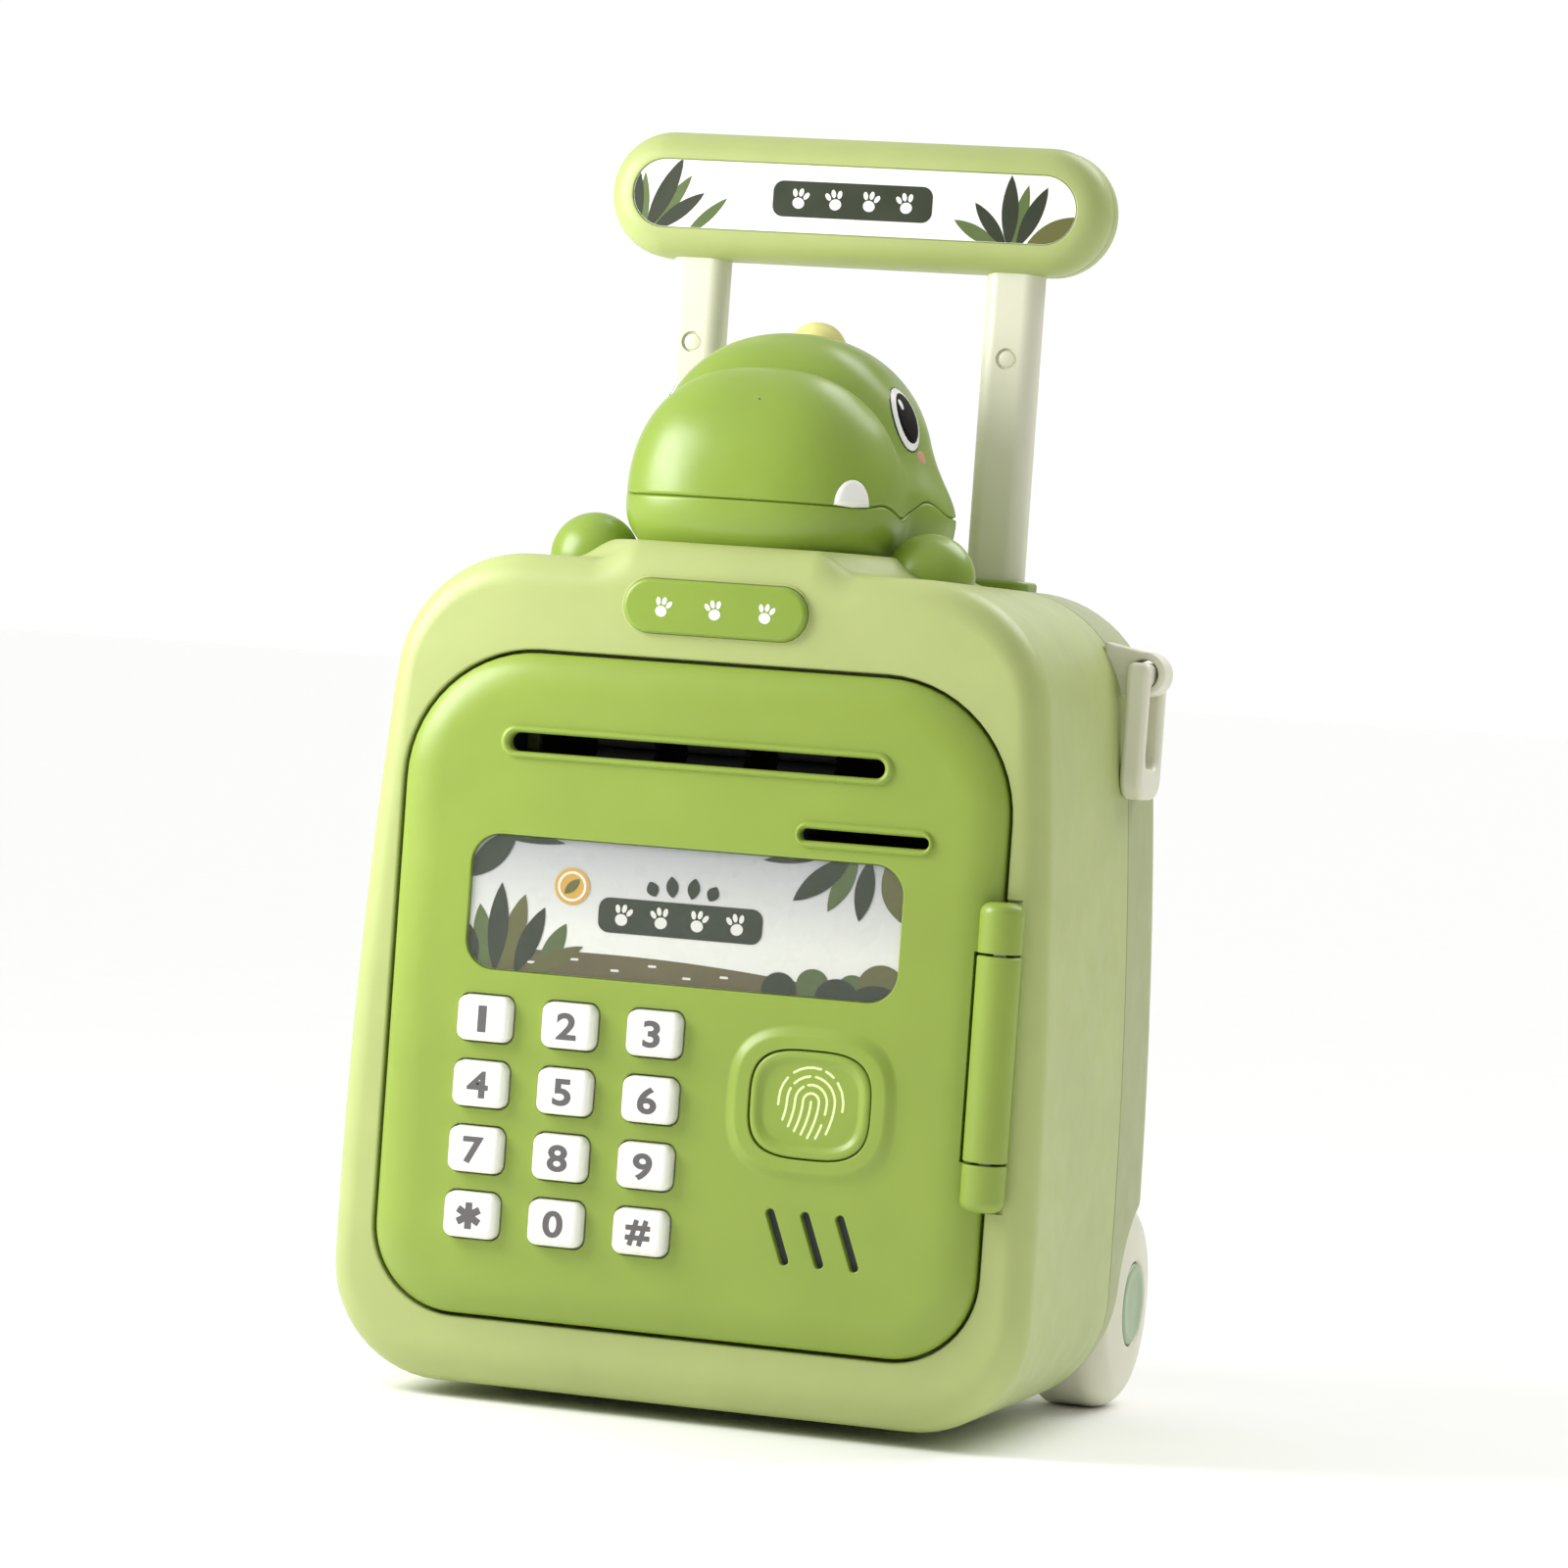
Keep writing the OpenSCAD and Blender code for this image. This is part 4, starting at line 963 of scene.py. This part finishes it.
def head():
    turns = np.linspace(-180, 180, 241)[:-1]
    fine = [-1.5, -0.8, -0.45, -0.22, 0.0, 0.22, 0.45, 0.8, 1.5]
    rises = np.concatenate([np.linspace(-46, -3, 16), fine, np.linspace(3, 88.5, 92)])
    turn, rise = np.meshgrid(turns, rises)
    side, ahead = np.sin(np.radians(turn)), -np.cos(np.radians(turn))
    reach = 1 / np.sqrt((side / 38) ** 2 + (ahead / 36) ** 2)
    lift = np.degrees(np.arctan2(mouth_wave(turn), reach)) * np.clip(1 - np.abs(rise) / 25, 0, 1)
    angle = np.radians(rise + lift)
    outward = np.stack([side * np.cos(angle), ahead * np.cos(angle), np.sin(angle)], axis=-1).reshape(-1, 3)
    surface = hit(HEAD_CENTRE + outward * CLEAR, -outward).reshape(*turn.shape, 3)
    outward = outward.reshape(surface.shape)
    groove = 0.9 * np.exp(-(rise / 0.35) ** 2)[..., None]
    surface = surface - outward * groove
    surface[..., 2] = np.maximum(surface[..., 2], HEAD_FOOT)
    solid = Solid()
    solid.points = [tuple(p) for p in surface.reshape(-1, 3)]
    rows, columns = turn.shape
    index = np.arange(rows * columns).reshape(rows, columns)
    for r in range(rows - 1):
        solid.strip(list(index[r]), list(index[r + 1]))
    top = hit(HEAD_CENTRE[None] + [[0, 0, CLEAR]], np.array([[0, 0, -1.0]]), 90.0)[0]
    for row, pole in ((-1, tuple(top)), (0, (0.0, HEAD_CENTRE[1], HEAD_FOOT))):
        solid.points.append(pole)
        solid.strip(list(index[row]), [len(solid.points) - 1])
    build("dinosaur_head", solid, "leaf_green", "cabinet", "head_upper", "head_jaw", sharp=70, weighted=False)


def patch(name, at, facing, shape, lift, ink, slot, *nodes, rings=7, both=True):
    """A thin raised shape that follows the head: shape is an outline about the point at, seen along
    facing, which points out of the head. Both sides of the head get one, or only the right."""
    facing = np.array(facing, float) / np.linalg.norm(facing)
    across = np.cross([0.0, 0.0, 1.0], facing)
    across /= np.linalg.norm(across)
    up = np.cross(facing, across)
    centre = shape.mean(axis=0)
    solid, last = Solid(), None
    for share in np.linspace(1, 0, rings):
        flat = centre + (shape - centre) * share if share else centre[None]
        origin = np.array(at) + flat[:, :1] * across + flat[:, 1:] * up + facing * 40
        landed = hit(origin, -facing[None], 80.0)
        height = lift * min(1.0, (1 - share) * rings * 0.8) - 0.15 * (share == 1)
        start = len(solid.points)
        solid.points += [tuple(p) for p in landed + facing * height]
        ring = list(range(start, len(solid.points)))
        if last:
            solid.strip(last, ring)
        last = ring
    solid = solid.mirror() if both else solid
    build(name, solid, slot, "cabinet", *nodes, material=INKS.get(ink), sharp=80, weighted=False)


def face_details():
    eye_at, eye_out = (29.9, -22.6, 236.9), (0.90, -0.20, 0.39)
    patch("eye_edges", eye_at, eye_out, oval(0, 0, 6.8, 8.8), 0.30, "ink_dark", "white")
    patch("eye_whites", eye_at, eye_out, oval(0, 0, 6.5, 8.5), 0.50, None, "white", "eyes")
    patch("eye_pupils", eye_at, eye_out, oval(0, 0, 5.3, 7.3), 0.68, "ink_black", "white")
    patch("eye_glints", eye_at, eye_out, oval(-2.3, 3.0, 1.0, 1.9, 6), 0.80, "ink_cream", "white", rings=4)
    patch("cheeks", (35.0, -18.8, 228.6), (0.93, -0.15, 0.30), oval(0, 0, 2.6, 2.0), 0.10, "ink_pink",
          "leaf_green", rings=4)
    shape = np.concatenate([arc(0, 0, 4.7, 0, 180, 18) * [1.0, 1.3], [[0.0, -0.4]]])
    patch("tooth_shape", (26.5, -52.4, MOUTH_Z + 0.3), (0.68, -0.73, 0.0), shape, 0.7, None, "white", "tooth",
          both=False)
    patch("nostrils", (2.6, -53.0, 237.8), (0.1, -0.75, 0.66), oval(0, 0, 0.55, 0.38, -30), 0.03, "ink_dark",
          "leaf_green", rings=3, both=False)


def crest():
    dome = [(CREST_R * math.cos(t) ** 0.9, CREST_Z + (CREST_TOP - CREST_Z) * math.sin(t))
            for t in np.radians(np.linspace(6, 84, 12))]
    profile = [(CREST_R, 246.0), (CREST_R, CREST_Z), *dome, (0, CREST_TOP)]
    build("crest_spike", revolved(profile, (0.0, CREST_Y)), "yellow", "cabinet", "head_crest", weighted=False)


def paws():
    solid = Solid("z")
    rings = []
    for t in np.radians(np.linspace(-90, 90, 33)):
        r = math.cos(t)
        outline = oval(*PAW, PAW_RADII[0] * r, PAW_RADII[1] * r, steps=56) if r > 1e-6 else np.array([PAW])
        rings.append((outline, PAW_Z + PAW_RADII[2] * math.sin(t)))
    solid.sweep(rings)
    build("paw_pads", solid.mirror(), "leaf_green", "cabinet", "paws", weighted=False)


# ---- Handle ----

def handle():
    post = centred(POST_X, POST_Y, 14.0, 10.0, 4.0, 10)
    posts = plain_object("handle_post_tubes", slab(post, 150, 290, 0.8, 0.0, axis="z").mirror())
    button_at = (POST_X, 254.5)
    carve(posts, revolved([(0, 20), (2.7, 20), (2.6, 24.3), (0, 24.3)], button_at, "y", 48).mirror())
    dress(posts, "cream", "handle", "handle_posts")
    button = revolved([(0, 23.7), (1.2, 23.75), (1.9, 23.95), (2.2, 24.4), (0, 24.4)], button_at, "y", 48)
    build("post_buttons", button.mirror(), "cream", "handle")
    collar = ring_slab(centred(POST_X, POST_Y, 19, 15, 4.0, 8), centred(POST_X, POST_Y, 14.7, 10.7, 4.35, 8),
                       190.0, 200.8, 0.9, axis="z")
    build("collar_rings", collar.mirror(), "leaf_green", "cabinet", "post_collars")


def grip():
    outline = panel(-GRIP_HALF, GRIP_Z, GRIP_HALF, GRIP_Z + GRIP_H, 15.45, 16)
    label = panel(-56.5, GRIP_Z + 7, 56.5, GRIP_Z + 24, 8.45, 16)
    front_y, edge = POST_Y - GRIP_HALF_T, 6.6
    for name, node, sign in (("grip_front_shell", "grip_front", 1), ("grip_rear_shell", "grip_rear", -1)):
        solid = Solid()
        rings = [(outline(-0.35), POST_Y), (outline(0.0), POST_Y - sign * 0.35)]
        face = POST_Y - sign * GRIP_HALF_T
        rings += [(outline(-edge * away), face + sign * 7.0 * deep) for away, deep in quarter(12)[::-1]]
        first, last = solid.sweep(rings)
        solid.fill(first)
        if sign > 0:
            mouth, bed = solid.sweep(rings_of(label, (0.25, face), (0.05, face + 0.1), (0.0, face + 0.3),
                                              (0.0, face + 0.8)))
            solid.fill(last, [mouth])
            solid.fill(bed)
        else:
            depths = ((0.3, face), (0.0, face - 0.3), (0.0, face - 2.2))
            wells = [solid.sweep(rings_of(circle(x, GRIP_Z + GRIP_H / 2, 2.7, 32), *depths)) for x in (-20, 20)]
            solid.fill(last, [well[0] for well in wells])
            for well in wells:
                solid.fill(well[1])
        build(name, solid, "pale_green", "handle", node)
    y = front_y + 0.3
    plate = panel(-56.3, GRIP_Z + 7.2, 56.3, GRIP_Z + 23.8, 8.25, 16)
    build("grip_label_plate", slab(plate, y, y + 0.5, 0.08), "card", "handle", "grip_label")
    foot, bounds = GRIP_Z + 6, plate(-0.1)
    art = [("ink_leaf", leaves((-51.5, foot, -41.5, foot + 14.0, 3.4), (-42.5, foot - 1, -32, foot + 8.8, 2.6),
                               (-53.0, foot, -53.6, foot + 14.5, 2.4), (38.0, foot, 26.0, foot + 6.2, 3.4),
                               (41.0, foot, 44.2, foot + 15.4, 3.4))),
           ("ink_olive", leaves((44.0, foot, 58.5, foot + 8.0, 5.6))),
           ("ink_dark", [*leaves((-52.5, foot, -44.0, foot + 18.2, 4.4), (-51.0, foot, -38.0, foot + 9.8, 3.6),
                                 (-54.8, foot, -56.0, foot + 17.0, 3.4), (39.5, foot, 31.0, foot + 10.6, 3.4),
                                 (40.0, foot, 39.8, foot + 17.6, 4.2), (42.0, foot, 49.0, foot + 15.0, 4.0)),
                         rounded(-20.3, GRIP_Z + 11.0, 20.3, GRIP_Z + 19.8, 2.6)]),
           ("ink_cream", footprints(-13.5, GRIP_Z + 15.4, 9.0))]
    for level, (ink, polygons) in enumerate(art):
        printed(f"grip_art_{level}", polygons, y - 0.02 - 0.025 * level, ink, "card", "handle", 0.012, bounds)


# ---- Strap rings and wheels ----

def ring_edge(foot, head):
    """Outline function of a strap ring's edge, from its corners' half widths, heights and radii."""
    (foot_half, low, foot_r), (head_half, high, head_r) = foot, head
    return lambda grow=0.0: np.concatenate([
        arc(RING_Y + foot_half, low, foot_r + grow, -90, 0, 8),
        arc(RING_Y + head_half, high, head_r + grow, 0, 90, 6),
        arc(RING_Y - head_half, high, head_r + grow, 90, 180, 6),
        arc(RING_Y - foot_half, low, foot_r + grow, 180, 270, 8)])


def strap_rings():
    outer = ring_edge((4.5, 156.5, 6.0), (7.75, RING_Z, RING_R))
    inner = ring_edge((3.0, 161.5, 3.5), (4.0, 175.6, 2.1))
    for side, name in SIDES:
        ring = ring_slab(outer, inner, RING_X - RING_R, RING_X + RING_R, 1.5, axis="x", steps=5)
        build(f"strap_ring_{name}", ring.on(side), "cream", f"{name}_ring", f"ring_{name}")
    lug = lambda grow=0.0: grown(join(
        line((73.5, 175.0), (81.5, 175.1), 4), arc(RING_X, RING_Z, 5.4, -98, 97, 22),
        line((82.5, 185.9), (73.5, 187.6), 4)), grow)
    bore = circle(RING_X, RING_Z, 3.5, 40)
    lugs = ring_slab(lug, bore, RING_Y - 4.5, RING_Y + 4.5, 0.8, steps=5)
    build("strap_hooks", lugs.mirror(), "cream", "cabinet", "strap_lugs")


def wheels():
    for side, name in SIDES:
        profile = [(2.6, 0.4), (9.0, 0.4), (9.6, 1.4), (20.6, 1.4), (21.2, 0.3)]
        profile += [(WHEEL_R - 3.0 * away, 3.0 * deep) for away, deep in quarter(6)]
        profile += [tuple(p) for p in arc(0, 0, 1, 0, 78, 11) * [8.0, 7.2] + [WHEEL_R - 8.0, 12.5]]
        profile += [(HUB_R + 2.6, 20.5), (HUB_R + 1.2, 20.75), (HUB_R + 0.5, 20.4), (HUB_R + 0.3, 19.6),
                    (HUB_R + 0.3, 17.0), (2.6, 17.0)]
        wheel = revolved([(r, WHEEL_IN + x) for r, x in profile], (WHEEL_Y, WHEEL_R), "x", 96, closed=True)
        build(f"wheel_tyre_{name}", wheel.on(side), "cream", f"{name}_wheel", f"wheel_{name}", sharp=50)
        disc = [(0, 17.2), (HUB_R, 17.2), (HUB_R, 20.2), (HUB_R - 0.3, 20.6), (HUB_R - 1.0, 20.85),
                (HUB_R - 2.2, 20.8), (HUB_R - 3.2, 20.5), (4.0, 20.4), (2.0, 20.5), (0, 20.6)]
        hub = revolved([(r, WHEEL_IN + x) for r, x in disc], (WHEEL_Y, WHEEL_R), "x", 72)
        build(f"hub_disc_{name}", hub.on(side), "door_green", f"{name}_wheel", f"hub_{name}", sharp=50,
              material=INKS["hub_sage"])


# ---- Pieces carried over from the frame ----

def carried_nodes():
    """Every CAD node that still shows takes the finish of its slot in the record."""
    slots = {part["node"]: part["material_slot"] for part in frame["record"]["subparts"]}
    for name, obj in frame["nodes"].items():
        if not obj.hide_render:
            for place in obj.material_slots:
                place.material = FINISHES[slots[name]]


# ---- Stage ----

def floor():
    solid = Solid("z")
    solid.sweep([(arc(0, 0, 20.0, 0, 360, 96)[:-1], 0.0), (arc(0, 0, 30000.0, 0, 360, 96)[:-1], 0.0)])
    solid.faces.append(list(range(96)))
    obj = plain_object("studio_floor", solid)
    obj.data.materials.append(moulded("studio_paper", (250, 250, 248), roughness=0.9, vary=0.006, grain=0.02))


def camera():
    """Seen from the front, turned 17 degrees to the viewer's right, a little above, and rolled."""
    yaw, pitch, roll = 0.297, 0.023, 0.071
    ahead = Vector((-math.sin(yaw) * math.cos(pitch), math.cos(yaw) * math.cos(pitch), -math.sin(pitch)))
    level = Vector((math.cos(yaw), math.sin(yaw), 0))
    above = level.cross(ahead)
    right = level * math.cos(roll) + above * math.sin(roll)
    up = above * math.cos(roll) - level * math.sin(roll)
    data = bpy.data.cameras.new("camera")
    data.lens, data.sensor_width, data.clip_end = 133.1, 36.0, 100.0
    place = Matrix((right, up, -ahead)).transposed().to_4x4()
    place.translation = Vector((408.2, -1337.4, 180.15)) * MM
    obj = bpy.context.scene.camera = in_scene("camera", data)
    obj.matrix_world = place


def lamp(name, kind, place, target, energy):
    """A lamp at place that faces target."""
    data = bpy.data.lights.new(name, kind)
    data.energy = energy
    obj = in_scene(name, data)
    obj.location = Vector(place) * MM
    obj.rotation_euler = (Vector(place) - Vector(target)).to_track_quat("Z", "Y").to_euler()
    return obj


def studio():
    """White room: dim round the sides, brighter overhead, with a white backdrop behind the object."""
    world = bpy.data.worlds.new("studio")
    world.use_nodes = True
    nodes, links = world.node_tree.nodes, world.node_tree.links
    coords = nodes.new("ShaderNodeTexCoord").outputs["Generated"]
    split = nodes.new("ShaderNodeSeparateXYZ")
    links.new(coords, split.inputs[0])
    behind, brighter = nodes.new("ShaderNodeVectorMath"), nodes.new("ShaderNodeMath")
    behind.operation, brighter.operation = "DOT_PRODUCT", "MAXIMUM"
    behind.inputs[1].default_value = (-0.29, 0.957, 0.0)
    links.new(coords, behind.inputs[0])
    links.new(ramped(nodes, links, split.outputs["Z"], 0.0, 0.9, 0.20, 0.80), brighter.inputs[0])
    links.new(ramped(nodes, links, behind.outputs["Value"], 0.78, 0.93, 0.0, 1.02), brighter.inputs[1])
    links.new(brighter.outputs[0], nodes["Background"].inputs["Strength"])
    nodes["Background"].inputs["Color"].default_value = (1, 1, 1, 1)
    bpy.context.scene.world = world
    bpy.context.scene.view_settings.view_transform = "Standard"


def lights():
    """A square lamp that the camera doesn't see, a wide sun from behind, and the room."""
    key = lamp("key", "AREA", (-340, -230, 330), (0, -20, 140), 2.4)
    key.data.shape, key.data.size, key.visible_camera = "SQUARE", 0.26, False
    rim = lamp("rim", "SUN", (0.30, 0.60, 0.74), (0, 0, 0), 1.6)
    rim.data.angle = math.radians(40)
    studio()


front_shell()
rear_shell()
axle_bosses()
strike()
hinge_barrel()
nameplate()
door_panel()
keys()
finger_button()
window()
head()
face_details()
crest()
paws()
handle()
grip()
strap_rings()
wheels()
carried_nodes()
floor()
camera()
lights()
